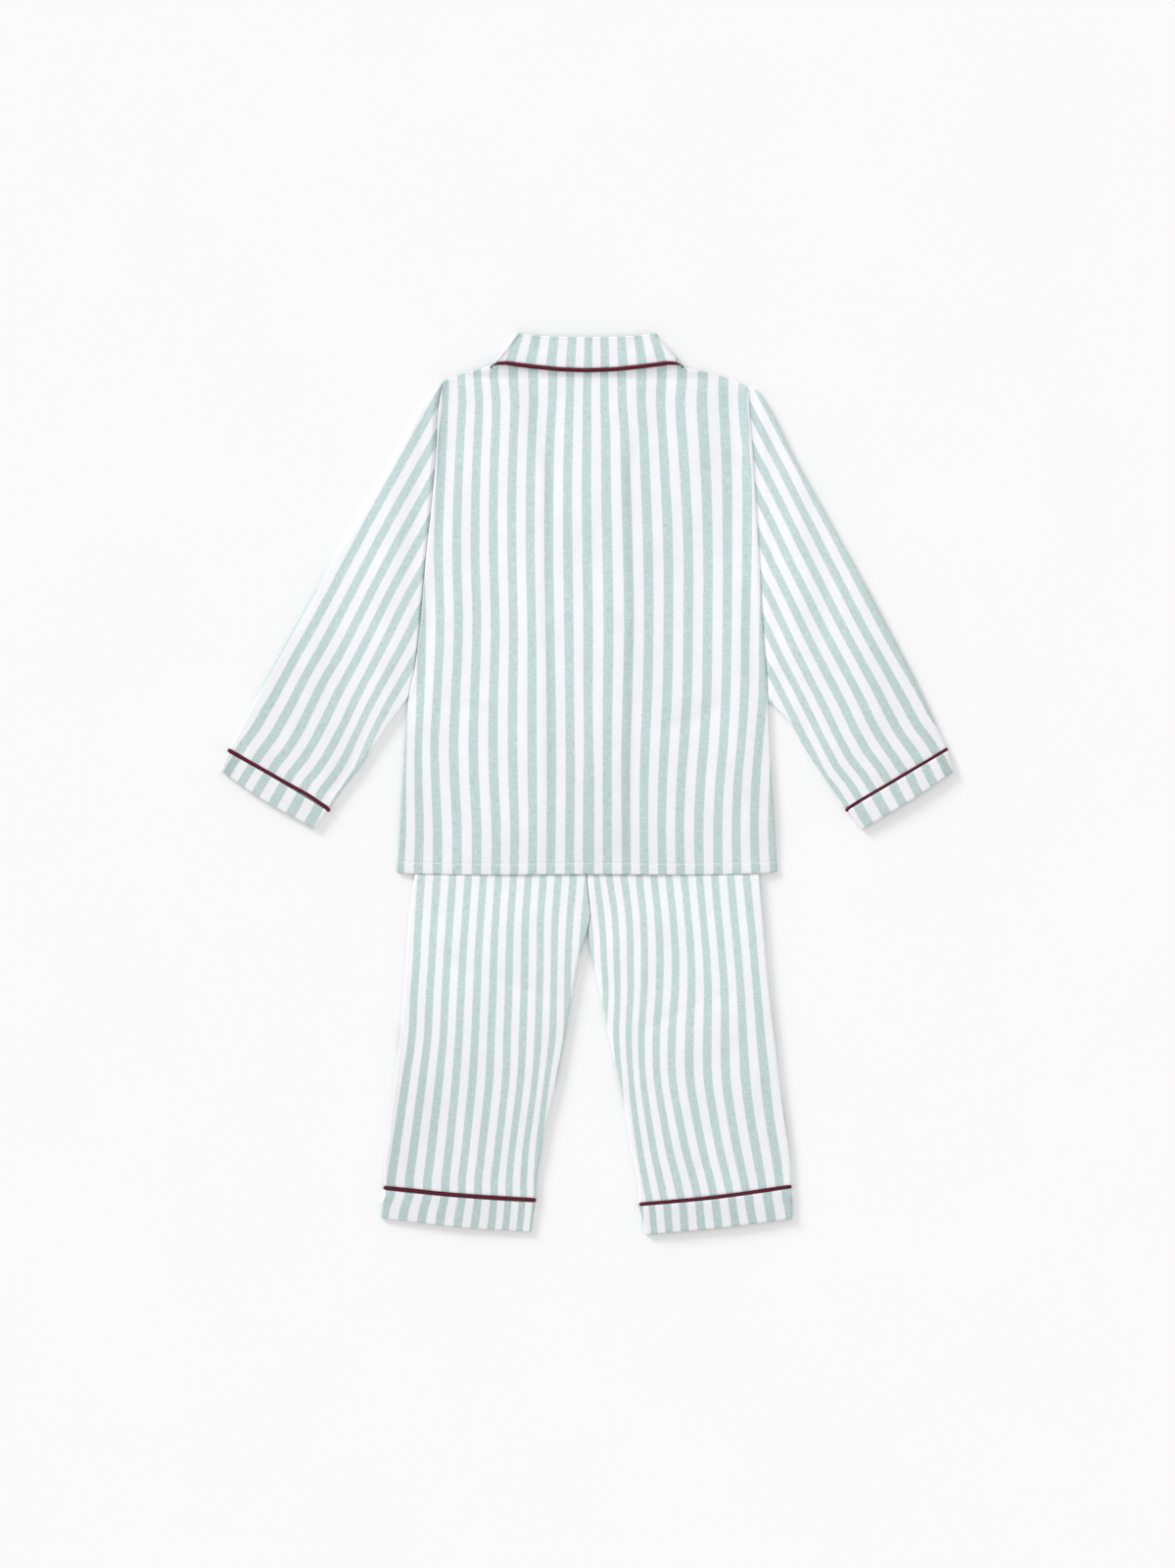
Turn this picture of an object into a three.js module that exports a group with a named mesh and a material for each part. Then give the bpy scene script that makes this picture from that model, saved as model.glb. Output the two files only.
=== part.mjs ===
// A child's woven pyjama set, laid flat with its back up: a collared jacket, face down over its trousers.
// Millimetres. +Z is up from the surface it lies on, +Y runs towards the collar and +X to the right.
import * as THREE from "three";

// Cloth, gaps and trims
const wall = 1;
const seamGap = 0.3;
const layer = wall + seamGap;
const foldRadius = (wall + layer) / 2;
const pipingWidth = 3.2;
const pipingHeight = 1.6;
const pipingOffset = pipingWidth / 2 + seamGap;
const pipingSides = 8;
// Small trims stay this far off the surface that the cloth rests on
const floorGap = 0.1;

// Trousers, under the jacket from the waist down
const waistTop = 105;
const waistbandDepth = 25;
const trouserLift = 2 * layer;
const trouserSideShare = 0.045;
const trouserLiftTop = 125;
const trouserLiftEnd = 165;

// Jacket front: its lap, its buttons and the collar points that it lies on
const lapShare = 0.035;
const lapEndShare = 0.1;
const lapTop = 306;
const lapTopEnd = 380;
const buttonRadius = 5.75;
const buttonHeight = 1.7;
const buttonLift = floorGap + buttonHeight + seamGap;
const buttonStripTop = 240;
const buttonStripEnd = 266;
const firstButtonY = 225;
const buttonSpacing = 88;
const buttonCount = 4;
const buttonMargin = 4;
const collarLift = pipingHeight + seamGap;
const collarZone = { halfWidth: 100, bottom: 245, ramp: 25 };
const frontNeckDrop = 105;
const frontNeckHalfWidth = 80;
// The share of the body's depth below which front and back have the same rows
const frontNeckShare = 0.25;

// Collar
const collarCentre = -1;
const collarTop = collarLift + 2 * layer + wall;
const collarFoldRadius = collarTop / 2;
const creaseRadius = (wall + layer) / 2;

// Edges of the jacket's body, by height
const jacketLeftEdge = [
  { y: 370.4, x: -132.8 },
  { y: 355, x: -136.4 },
  { y: 306, x: -139.6 },
  { y: 252, x: -144.5 },
  { y: 207, x: -149.4 },
  { y: 144, x: -155.2 },
  { y: 112, x: -158.8 },
  { y: 80, x: -165.2 },
  { y: 52, x: -167.8 },
  { y: 18, x: -169.9 },
  { y: -54, x: -174.2 },
  { y: -82.8, x: -176.4 },
];
const jacketRightEdge = [
  { y: 370.4, x: 147 },
  { y: 333, x: 149.2 },
  { y: 306, x: 151.4 },
  { y: 216, x: 157 },
  { y: 144, x: 160.9 },
  { y: 110, x: 163.4 },
  { y: 80, x: 165.3 },
  { y: 18, x: 168 },
  { y: -31, x: 171 },
  { y: -82.8, x: 174.5 },
];

// Shoulders and back neck, across the top of the body
const jacketTop = [
  { x: -132.8, y: 370.4 },
  { x: -115, y: 377.2 },
  { x: -97, y: 381.2 },
  { x: -86, y: 382 },
  { x: -75, y: 390.5 },
  { x: -50, y: 390.5 },
  { x: 0, y: 388.5 },
  { x: 50, y: 390.5 },
  { x: 73, y: 390.5 },
  { x: 85, y: 381.4 },
  { x: 94, y: 380.6 },
  { x: 111, y: 378 },
  { x: 128, y: 373.1 },
  { x: 147, y: 364.4 },
];
const jacketHem = [
  { x: -176.4, y: -80.5 },
  { x: -168, y: -81.9 },
  { x: -150, y: -82.5 },
  { x: 0, y: -82.8 },
  { x: 150, y: -82.2 },
  { x: 166, y: -81.5 },
  { x: 174.5, y: -80.5 },
];
// Shares of the body's width and depth where its grid has lines
const jacketColumns = [
  0, 0.0225, 0.045, 0.09, 0.13, 0.153, 0.18, 0.206, 0.25, 0.3, 0.35, 0.4, 0.465, 0.5,
  0.535, 0.6, 0.65, 0.7, 0.735, 0.76, 0.78, 0.81, 0.86, 0.91, 0.955, 0.9775, 1,
];
const armholeRows = [0, 0.03, 0.08, 0.13, 0.19, 0.25, 0.3, 0.35, 0.42, 0.48, 0.53, 0.58, 0.643];
const jacketRows = [...armholeRows, 0.71, 0.78, 0.85, 0.92, 0.97, 1];

// Sleeves: the outer fold and the underarm seam, from the armhole to the cuff's piping
const sleeves = {
  left: {
    outer: [[-133.1, 370.4], [-148.1, 353.2], [-167.8, 319.1], [-215.6, 237.2], [-264.2, 155.2],
      [-300.2, 88.9], [-329.5, 32.7]],
    inner: [[-165.5, 80.5], [-176.8, 65.2], [-185, 53.6], [-191.7, 41], [-211.1, 9.5], [-229.1, -9.5],
      [-237.5, -21.3]],
    piping: [[-330.5, 31.1], [-238.5, -22.9]],
    end: [[-337.9, 12.8], [-301.9, -12.2], [-250.7, -41]],
    armhole: { edge: jacketLeftEdge, shoulder: jacketTop[0], hem: jacketHem[0] },
    side: -1,
  },
  right: {
    outer: [[147.5, 364.4], [156.2, 361.2], [166.2, 346], [186.8, 304.7], [210.6, 261.4], [258.8, 174.2],
      [304.5, 86], [328.9, 33.5]],
    inner: [[165.7, 78.3], [170.5, 73.8], [178, 66.5], [186.8, 56.6], [197.6, 37.4], [222.8, -0.5],
      [237.2, -21.3]],
    piping: [[329.9, 31.9], [238.1, -22.9]],
    end: [[336.2, 12.6], [300, -12], [251.9, -41]],
    armhole: { edge: jacketRightEdge, shoulder: jacketTop.at(-1), hem: jacketHem.at(-1) },
    side: 1,
  },
};
const sleeveSteps = 12;

// Trouser legs: outer and inner edges by height, and the piping and hem lines across
const trouserLegs = {
  left: {
    outer: [
      { y: 105, x: -138 },
      { y: 0, x: -152.5 },
      { y: -82, x: -159.3 },
      { y: -129, x: -164.9 },
      { y: -187, x: -168.8 },
      { y: -255, x: -175.5 },
      { y: -301, x: -181.1 },
      { y: -372, x: -187.9 },
    ],
    inner: [
      { y: 105, x: -1 },
      { y: 0, x: -1 },
      { y: -82, x: -1 },
      { y: -98, x: 0.1 },
      { y: -123, x: 1.7 },
      { y: -135, x: -0.6 },
      { y: -145, x: -3.4 },
      { y: -157, x: -7.7 },
      { y: -180, x: -12.2 },
      { y: -209, x: -17.1 },
      { y: -267, x: -27.4 },
      { y: -319, x: -39.6 },
      { y: -383, x: -48.1 },
    ],
    piping: [[-187.7, -371.2], [-117.9, -378.2], [-48.1, -382.6]],
    end: [[-190.3, -398.9], [-121, -407], [-52.5, -411.8]],
    side: -1,
  },
  right: {
    outer: [
      { y: 105, x: 138.5 },
      { y: 0, x: 151.5 },
      { y: -82, x: 158 },
      { y: -136, x: 161.8 },
      { y: -187, x: 166.3 },
      { y: -233, x: 171.9 },
      { y: -279, x: 177 },
      { y: -324, x: 183.4 },
      { y: -370, x: 186.9 },
    ],
    inner: [
      { y: 105, x: -1 },
      { y: 0, x: -1 },
      { y: -82, x: -1 },
      { y: -98, x: 0.1 },
      { y: -123, x: 1.9 },
      { y: -135, x: 0.4 },
      { y: -145, x: 0.9 },
      { y: -153, x: 2.2 },
      { y: -180, x: 8.6 },
      { y: -232, x: 19.4 },
      { y: -301, x: 34.2 },
      { y: -359, x: 42.8 },
      { y: -387, x: 47.5 },
    ],
    piping: [[186.9, -370.2], [117.2, -380.1], [47.4, -386.7]],
    end: [[187.5, -398.9], [122, -407.3], [53.6, -413.5]],
    side: 1,
  },
};
const legRows = [0, 0.12, 0.24, 0.34, 0.38, 0.42, 0.455, 0.48, 0.51, 0.55, 0.6, 0.66, 0.72, 0.78, 0.84,
  0.9, 0.95, 1];
const legAcross = 6;
// The share of the leg's length past which its columns turn to meet the hem's piping
const lastLegStretch = 0.9;
const bandAcross = evenShares(8);

// Half of the collar, from the centre back round the neck to its front point.
// The crease is its top fold and the edge its free edge. A turn of 0 lies on the back, 180 under the front.
const collarStations = [
  { turn: 0, creaseX: 0, creaseY: 410.4, edgeX: 0, edgeY: 381.7, stand: 20.5 },
  { turn: 0, creaseX: 26.5, creaseY: 410.9, edgeX: 25.5, edgeY: 382.6, stand: 19 },
  { turn: 0, creaseX: 50, creaseY: 412.2, edgeX: 52, edgeY: 385.4, stand: 16 },
  { turn: 0, creaseX: 57, creaseY: 413.2, edgeX: 74, edgeY: 388.1, stand: 9 },
  { turn: 0, creaseX: 63, creaseY: 414.4, edgeX: 89.5, edgeY: 386.1, stand: 3 },
  { turn: 45, creaseX: 63, creaseY: 414.4, edgeX: 89.5, edgeY: 386.1, stand: 3 },
  { turn: 90, creaseX: 63, creaseY: 414.4, edgeX: 89.5, edgeY: 386.1, stand: 3 },
  { turn: 135, creaseX: 63, creaseY: 414.4, edgeX: 89.5, edgeY: 386.1, stand: 3 },
  { turn: 180, creaseX: 63, creaseY: 414.4, edgeX: 89.5, edgeY: 386.1, stand: 3 },
  { turn: 180, creaseX: 54, creaseY: 394, edgeX: 86, edgeY: 368, stand: 3 },
  { turn: 180, creaseX: 41, creaseY: 364, edgeX: 83, edgeY: 340, stand: 3 },
  { turn: 180, creaseX: 24, creaseY: 330, edgeX: 78, edgeY: 304, stand: 3 },
  { turn: 180, creaseX: 12, creaseY: 304, edgeX: 73, edgeY: 274, stand: 3 },
];
const creaseSteps = 4;

const clothMaterial = () => new THREE.MeshStandardMaterial({ color: "#dbe5e6", roughness: 0.9 });
const pipingMaterial = () => new THREE.MeshStandardMaterial({ color: "#6b3540", roughness: 0.8 });
const buttonMaterial = () => new THREE.MeshStandardMaterial({ color: "#e8e6df", roughness: 0.35 });

const pyjamaSet = new THREE.Group();

function addPiece(name, geometry, material) {
  const piece = new THREE.Mesh(geometry, material);
  piece.name = name;
  pyjamaSet.add(piece);
  return piece;
}

function evenShares(steps) {
  return Array.from({ length: steps + 1 }, (_, step) => step / steps);
}

// Reads one column of a table along a smooth curve through its rows
function curveOf(table, key, column) {
  const rows = [...table].sort((a, b) => a[key] - b[key]);
  const keys = rows.map((row) => row[key]);
  const curve = new THREE.CubicInterpolant(keys, rows.map((row) => row[column]), 1);
  return (at) => curve.evaluate(THREE.MathUtils.clamp(at, keys[0], keys[keys.length - 1]))[0];
}

function lineThrough(points) {
  return new THREE.SplineCurve(points.map(([x, y]) => new THREE.Vector2(x, y)));
}

function ramp(value, none, full) {
  return THREE.MathUtils.clamp((value - none) / (full - none), 0, 1);
}

// Joins a list of points and triangles, and turns the faces outwards
function solidOf(points, triangles) {
  const volume = triangles.reduce((sum, [a, b, c]) => {
    return sum + points[a].dot(new THREE.Vector3().crossVectors(points[b], points[c]));
  }, 0);
  const facing = volume > 0 ? triangles : triangles.map(([a, b, c]) => [a, c, b]);
  const geometry = new THREE.BufferGeometry().setFromPoints(points);
  geometry.setIndex(facing.flat());
  geometry.computeVertexNormals();
  return geometry;
}

// Cloth between two grids of points. A tube's rows close on themselves.
function clothWall(outer, inner, isTube = false) {
  const rows = outer.length;
  const columns = outer[0].length;
  const points = [...outer.flat(), ...inner.flat()];
  const at = (side, row, column) => side * rows * columns + row * columns + (column % columns);
  const triangles = [];
  const quad = (a, b, c, d) => triangles.push([a, b, c], [a, c, d]);
  const lastColumn = isTube ? columns : columns - 1;
  for (let row = 0; row < rows - 1; row += 1) {
    for (let column = 0; column < lastColumn; column += 1) {
      quad(at(0, row, column), at(0, row + 1, column), at(0, row + 1, column + 1), at(0, row, column + 1));
      quad(at(1, row, column), at(1, row, column + 1), at(1, row + 1, column + 1), at(1, row + 1, column));
    }
    if (!isTube) {
      quad(at(0, row, 0), at(1, row, 0), at(1, row + 1, 0), at(0, row + 1, 0));
      quad(at(0, row, lastColumn), at(0, row + 1, lastColumn), at(1, row + 1, lastColumn), at(1, row, lastColumn));
    }
  }
  for (let column = 0; column < lastColumn; column += 1) {
    quad(at(0, 0, column), at(0, 0, column + 1), at(1, 0, column + 1), at(1, 0, column));
    const end = rows - 1;
    quad(at(0, end, column), at(1, end, column), at(1, end, column + 1), at(0, end, column + 1));
  }
  return solidOf(points, triangles);
}

// A cord through a list of rings. It closes on itself, or has flat ends.
function cord(rings, isLoop) {
  const sides = rings[0].length;
  const points = rings.flat();
  const at = (ring, side) => (ring % rings.length) * sides + (side % sides);
  const triangles = [];
  const lastRing = isLoop ? rings.length : rings.length - 1;
  for (let ring = 0; ring < lastRing; ring += 1) {
    for (let side = 0; side < sides; side += 1) {
      triangles.push([at(ring, side), at(ring + 1, side), at(ring + 1, side + 1)]);
      triangles.push([at(ring, side), at(ring + 1, side + 1), at(ring, side + 1)]);
    }
  }
  if (!isLoop) {
    for (let side = 1; side < sides - 1; side += 1) {
      triangles.push([at(0, 0), at(0, side), at(0, side + 1)]);
      triangles.push([at(lastRing, 0), at(lastRing, side + 1), at(lastRing, side)]);
    }
  }
  return solidOf(points, triangles);
}

// How far the jacket's front lies above the surface: over the trousers, the buttons and the collar points
function frontHeight(across, x, y) {
  const side = Math.min(across, 1 - across);
  const fromCentre = Math.abs(across - 0.5);
  const overTrousers = ramp(side, 0, trouserSideShare) * ramp(y, trouserLiftEnd, trouserLiftTop);
  const overButtons = ramp(fromCentre, lapEndShare, lapShare) * ramp(y, buttonStripEnd, buttonStripTop);
  const besideCollar = ramp(Math.abs(x), collarZone.halfWidth + collarZone.ramp, collarZone.halfWidth);
  const overCollar = besideCollar * ramp(y, collarZone.bottom - collarZone.ramp, collarZone.bottom);
  return trouserLift * overTrousers + buttonLift * overButtons + collarLift * overCollar;
}

function lapHeight(across, y) {
  return layer * ramp(Math.abs(across - 0.5), lapEndShare, lapShare) * ramp(y, lapTopEnd, lapTop);
}

const jacketLeft = curveOf(jacketLeftEdge, "y", "x");
const jacketRight = curveOf(jacketRightEdge, "y", "x");

// The jacket's body pieces share one grid, so that their layers keep their gap
function jacketPiece(fromShare, toShare, neckDrop, heightAt) {
  const top = curveOf(jacketTop, "x", "y");
  const bottom = curveOf(jacketHem, "x", "y");
  const first = jacketTop[0].x;
  const last = jacketTop[jacketTop.length - 1].x;
  const columns = jacketColumns.filter((share) => share >= fromShare && share <= toShare);
  const lower = jacketRows.map((down) => columns.map((across) => {
    const topX = THREE.MathUtils.lerp(first, last, across);
    const bottomX = THREE.MathUtils.lerp(jacketHem[0].x, jacketHem[jacketHem.length - 1].x, across);
    const neck = neckDrop(topX) * ramp(down, frontNeckShare, 0);
    const y = THREE.MathUtils.lerp(top(topX), bottom(bottomX), down) - neck;
    const x = THREE.MathUtils.lerp(jacketLeft(y), jacketRight(y), across);
    return new THREE.Vector3(x, y, heightAt(across, x, y));
  }));
  const upper = lower.map((row) => row.map((point) => new THREE.Vector3(point.x, point.y, point.z + wall)));
  return clothWall(upper, lower);
}

function frontNeck(x) {
  const fromCentre = Math.abs(x - collarCentre) / frontNeckHalfWidth;
  return fromCentre < 1 ? frontNeckDrop * (1 - fromCentre) ** 0.8 : 0;
}

function addJacketBody() {
  const noDrop = () => 0;
  const backHeight = (across, x, y) => frontHeight(across, x, y) + layer + lapHeight(across, y);
  const overLap = (across, x, y) => frontHeight(across, x, y) + lapHeight(across, y);
  addPiece("jacket_back", jacketPiece(0, 1, noDrop, backHeight), clothMaterial());
  addPiece("jacket_front_left", jacketPiece(0, 0.5 + lapShare, frontNeck, frontHeight), clothMaterial());
  addPiece("jacket_front_right", jacketPiece(0.5 - lapShare, 1, frontNeck, overLap), clothMaterial());
}

function addButtons() {
  for (let number = 1; number <= buttonCount; number += 1) {
    const y = firstButtonY - (number - 1) * buttonSpacing;
    const x = (jacketLeft(y) + jacketRight(y)) / 2;
    const ends = [y - buttonRadius - buttonMargin, y + buttonRadius + buttonMargin];
    const clear = Math.min(...ends.map((end) => frontHeight(0.5, x, end))) - seamGap;
    const shape = new THREE.CylinderGeometry(buttonRadius, buttonRadius, buttonHeight, 20);
    const button = addPiece(`button_${number}`, shape, buttonMaterial());
    button.rotation.x = Math.PI / 2;
    button.position.set(x, y, clear - buttonHeight / 2);
  }
}

// The middle of a flattened tube's wall at one cut across it: where each point lies and which way is out
function flattenedRing(lineAcross, height, inset, shares) {
  const start = lineAcross(0);
  const end = lineAcross(1);
  const width = start.distanceTo(end);
  const outwards = start.clone().sub(end).divideScalar(width);
  const margin = inset / width;
  const ring = [];
  const addPoint = (share, sideways, up) => {
    const plan = lineAcross(share);
    const out = new THREE.Vector3(outwards.x * sideways, outwards.y * sideways, up);
    ring.push({ at: new THREE.Vector3(plan.x, plan.y, height), out });
  };
  const addTurn = (share, sign) => {
    for (const degrees of [45, 90, 135]) {
      const angle = THREE.MathUtils.degToRad(degrees);
      addPoint(share, sign * Math.sin(angle), sign * -Math.cos(angle));
    }
  };
  const inside = shares.map((share) => THREE.MathUtils.clamp(share, margin, 1 - margin));
  for (const share of [...inside].reverse()) {
    addPoint(share, 0, -1);
  }
  addTurn(margin, 1);
  for (const share of inside) {
    addPoint(share, 0, 1);
  }
  addTurn(1 - margin, -1);
  return ring;
}

function along(ring, distance) {
  return ring.map(({ at, out }) => at.clone().addScaledVector(out, distance));
}

// A flattened tube of cloth through lines across it
function clothTube(linesAcross, shares) {
  const rings = linesAcross.map((line) => flattenedRing(line, foldRadius, foldRadius, shares));
  const outer = rings.map((ring) => along(ring, foldRadius));
  const inner = rings.map((ring) => along(ring, foldRadius - wall));
  return clothWall(outer, inner, true);
}

// A loop of piping round a flattened tube
function pipingLoop(line, shares) {
  const middle = floorGap + pipingHeight + seamGap / 2;
  const pathRadius = (pipingHeight + seamGap) / 2;
  const ring = flattenedRing(line, middle, middle, shares);
  const across = line(1).clone().sub(line(0)).normalize();
  const lengthwise = new THREE.Vector3(-across.y, across.x, 0);
  const rings = ring.map(({ at, out }) => {
    const centre = at.clone().addScaledVector(out, pathRadius);
    return Array.from({ length: pipingSides }, (_, side) => {
      const angle = (2 * Math.PI * side) / pipingSides;
      return centre.clone()
        .addScaledVector(lengthwise, (pipingWidth / 2) * Math.cos(angle))
        .addScaledVector(out, (pipingHeight / 2) * Math.sin(angle));
    });
  });
  return cord(rings, true);
}

// The line across, moved down or up along the tube by a distance
function movedLine(points, distance, side) {
  const line = lineThrough(points);
  const first = new THREE.Vector2(...points[0]);
  const last = new THREE.Vector2(...points[points.length - 1]);
  const across = last.sub(first).normalize();
  const shift = new THREE.Vector2(across.y * side, -across.x * side).multiplyScalar(distance);
  return (share) => line.getPoint(share).add(shift);
}

function addSleeve(name, { outer, inner, piping, end, armhole, side }) {
  const outerEdge = lineThrough(outer);
  const innerEdge = lineThrough(inner);
  const armholeEdge = curveOf(armhole.edge, "y", "x");
  const heights = armholeRows.map((down) => THREE.MathUtils.lerp(armhole.shoulder.y, armhole.hem.y, down));
  const shoulderY = heights[0];
  const armpitY = heights[heights.length - 1];
  const shares = heights.map((y) => (shoulderY - y) / (shoulderY - armpitY));
  const bulge = (share) => {
    const straight = THREE.MathUtils.lerp(outer[0][0], inner[0][0], share);
    return armholeEdge(THREE.MathUtils.lerp(shoulderY, armpitY, share)) + side * seamGap - straight;
  };
  const lines = [];
  for (let step = 0; step <= sleeveSteps; step += 1) {
    const down = step / sleeveSteps;
    const from = outerEdge.getPointAt(down);
    const to = innerEdge.getPointAt(down);
    lines.push((share) => {
      const point = from.clone().lerp(to, share);
      const startY = THREE.MathUtils.lerp(outer[0][1], inner[0][1], share);
      point.x += bulge(share) * (1 - down) ** 2;
      point.y += (THREE.MathUtils.lerp(shoulderY, armpitY, share) - startY) * (1 - down) ** 2;
      return point;
    });
  }
  addPiece(`sleeve_${name}`, clothTube(lines, shares), clothMaterial());

  const pipingLine = movedLine(piping, 0, -side);
  addPiece(`cuff_piping_${name}`, pipingLoop(pipingLine, bandAcross), pipingMaterial());

  const cuffTop = movedLine(piping, pipingOffset, -side);
  const cuffEnd = movedLine(end, 0, -side);
  addPiece(`cuff_${name}`, clothTube([cuffTop, cuffEnd], bandAcross), clothMaterial());
}

// Front or back of one leg, down to the hem's piping
function legPanel({ outer, inner, piping, side }, height) {
  const outerEdge = curveOf(outer, "y", "x");
  const innerEdge = curveOf(inner, "y", "x");
  const hemLine = movedLine(piping, -pipingOffset, -side);
  const top = waistTop - waistbandDepth - seamGap;
  const lower = legRows.map((down) => Array.from({ length: legAcross + 1 }, (_, column) => {
    const share = column / legAcross;
    const y = THREE.MathUtils.lerp(top, hemLine(share).y, down);
    const centreGap = (side * seamGap) / 2;
    const betweenEdges = THREE.MathUtils.lerp(outerEdge(y), innerEdge(y) + centreGap, share);
    const x = THREE.MathUtils.lerp(betweenEdges, hemLine(share).x, ramp(down, lastLegStretch, 1));
    return new THREE.Vector3(x, y, height);
  }));
  const upper = lower.map((row) => row.map((point) => new THREE.Vector3(point.x, point.y, point.z + wall)));
  return clothWall(upper, lower);
}

function addLeg(name, leg) {
  addPiece(`trousers_front_${name}`, legPanel(leg, 0), clothMaterial());
  addPiece(`trousers_back_${name}`, legPanel(leg, layer), clothMaterial());

  const pipingLine = movedLine(leg.piping, 0, -leg.side);
  addPiece(`hem_piping_${name}`, pipingLoop(pipingLine, bandAcross), pipingMaterial());

  const bandTop = movedLine(leg.piping, pipingOffset, -leg.side);
  const bandEnd = movedLine(leg.end, 0, -leg.side);
  addPiece(`hem_band_${name}`, clothTube([bandTop, bandEnd], bandAcross), clothMaterial());
}

function addWaistband() {
  const leftEdge = curveOf(trouserLegs.left.outer, "y", "x");
  const rightEdge = curveOf(trouserLegs.right.outer, "y", "x");
  const lines = [waistTop, waistTop - waistbandDepth].map((y) => {
    const from = new THREE.Vector2(leftEdge(y), y);
    const to = new THREE.Vector2(rightEdge(y), y);
    return (share) => from.clone().lerp(to, share);
  });
  addPiece("waistband", clothTube(lines, bandAcross), clothMaterial());
}

// A point of the collar: its distance down from the crease, and its depth below the outer surface
function collarPoint({ turn, creaseX, creaseY, edgeX, edgeY }, down, depth, sign) {
  const crease = new THREE.Vector2(creaseX, creaseY);
  const across = new THREE.Vector2(edgeX, edgeY).sub(crease).normalize();
  const plan = crease.addScaledVector(across, down);
  const angle = THREE.MathUtils.degToRad(turn);
  const isAtFold = creaseX === 63;
  if (isAtFold) {
    const outwards = new THREE.Vector2(-across.y, across.x);
    plan.addScaledVector(outwards, (collarFoldRadius - depth) * Math.sin(angle) - collarFoldRadius);
  }
  const z = collarFoldRadius + (collarFoldRadius - depth) * Math.cos(angle);
  return new THREE.Vector3(collarCentre + sign * plan.x, plan.y, z);
}

// The whole collar's stations in order, from the left front point to the right one
function collarRun() {
  const right = collarStations.map((station) => ({ station, sign: 1 }));
  const left = collarStations.slice(1).map((station) => ({ station, sign: -1 }));
  return [...left.reverse(), ...right];
}

function collarWidth({ creaseX, creaseY, edgeX, edgeY }) {
  return Math.hypot(edgeX - creaseX, edgeY - creaseY);
}

function addCollar() {
  const sectionAt = (station, sign, inwards) => {
    const radius = creaseRadius - inwards;
    const points = [collarWidth(station), collarWidth(station) / 2].map((down) => [down, inwards]);
    for (let step = 0; step <= creaseSteps; step += 1) {
      const angle = (Math.PI * step) / creaseSteps;
      points.push([creaseRadius - radius * Math.sin(angle), creaseRadius - radius * Math.cos(angle)]);
    }
    points.push([station.stand, 2 * creaseRadius - inwards]);
    return points.map(([down, depth]) => collarPoint(station, down, depth, sign));
  };
  const outer = collarRun().map(({ station, sign }) => sectionAt(station, sign, 0));
  const inner = collarRun().map(({ station, sign }) => sectionAt(station, sign, wall));
  addPiece("collar", clothWall(outer, inner), clothMaterial());

  const topDepth = wall - pipingHeight / 2;
  const pipingRings = collarRun().map(({ station, sign }) => {
    const middle = THREE.MathUtils.lerp(topDepth, floorGap + pipingHeight / 2, station.turn / 180);
    return Array.from({ length: pipingSides }, (_, side) => {
      const angle = (2 * Math.PI * side) / pipingSides;
      const down = collarWidth(station) + pipingOffset + (pipingWidth / 2) * Math.cos(angle);
      return collarPoint(station, down, middle + (pipingHeight / 2) * Math.sin(angle), sign);
    });
  });
  addPiece("collar_piping", cord(pipingRings, false), pipingMaterial());
}

for (const [name, leg] of Object.entries(trouserLegs)) {
  addLeg(name, leg);
}
addWaistband();
addJacketBody();
addButtons();
for (const [name, sleeve] of Object.entries(sleeves)) {
  addSleeve(name, sleeve);
}
addCollar();

export default pyjamaSet;
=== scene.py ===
# A child's striped cotton pyjama set, laid flat with its back up: a collared jacket, face down over
# its trousers. Lengths in the tables are millimetres. +Z is up from the floor, +Y runs towards the
# collar and +X to the right.
import math

import bmesh
import bpy
import numpy as np
from mathutils import Matrix, Vector


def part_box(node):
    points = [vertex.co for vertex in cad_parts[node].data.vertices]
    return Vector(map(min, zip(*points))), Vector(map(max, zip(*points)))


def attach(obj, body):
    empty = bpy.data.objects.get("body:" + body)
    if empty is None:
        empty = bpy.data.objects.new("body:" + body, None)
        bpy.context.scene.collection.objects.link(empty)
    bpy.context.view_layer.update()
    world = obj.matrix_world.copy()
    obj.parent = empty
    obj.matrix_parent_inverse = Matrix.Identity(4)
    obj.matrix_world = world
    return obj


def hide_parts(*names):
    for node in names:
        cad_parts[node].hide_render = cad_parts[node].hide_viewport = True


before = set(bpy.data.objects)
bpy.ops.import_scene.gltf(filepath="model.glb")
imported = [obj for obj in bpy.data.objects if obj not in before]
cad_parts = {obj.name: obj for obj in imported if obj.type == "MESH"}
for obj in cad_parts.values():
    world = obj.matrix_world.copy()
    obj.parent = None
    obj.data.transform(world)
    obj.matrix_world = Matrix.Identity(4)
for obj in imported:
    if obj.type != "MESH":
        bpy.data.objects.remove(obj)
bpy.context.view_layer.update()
scene = bpy.context.scene

mm = 0.001
cloth = {
    "thickness": 0.7,    # fine brushed cotton, with its nap
    "stripePitch": 17,   # from one mint stripe to the next, where the cloth lies unstretched
    "step": 2.6,         # side of a face on the panels that show
    "hiddenStep": 7,     # and on those that lie under others
    "mintShare": 0.487,  # how much of the pitch is mint on the body
    "trimMintShare": 0.49,
    "offFloor": 0.03,    # a hair clear of the floor, so the two never mix
}
# How the layers lie on each other, as in the solids
layers = {"wall": 1.0, "next": 1.3, "overTrousers": 2.6, "overButtons": 2.1, "overCollar": 1.9}


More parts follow.
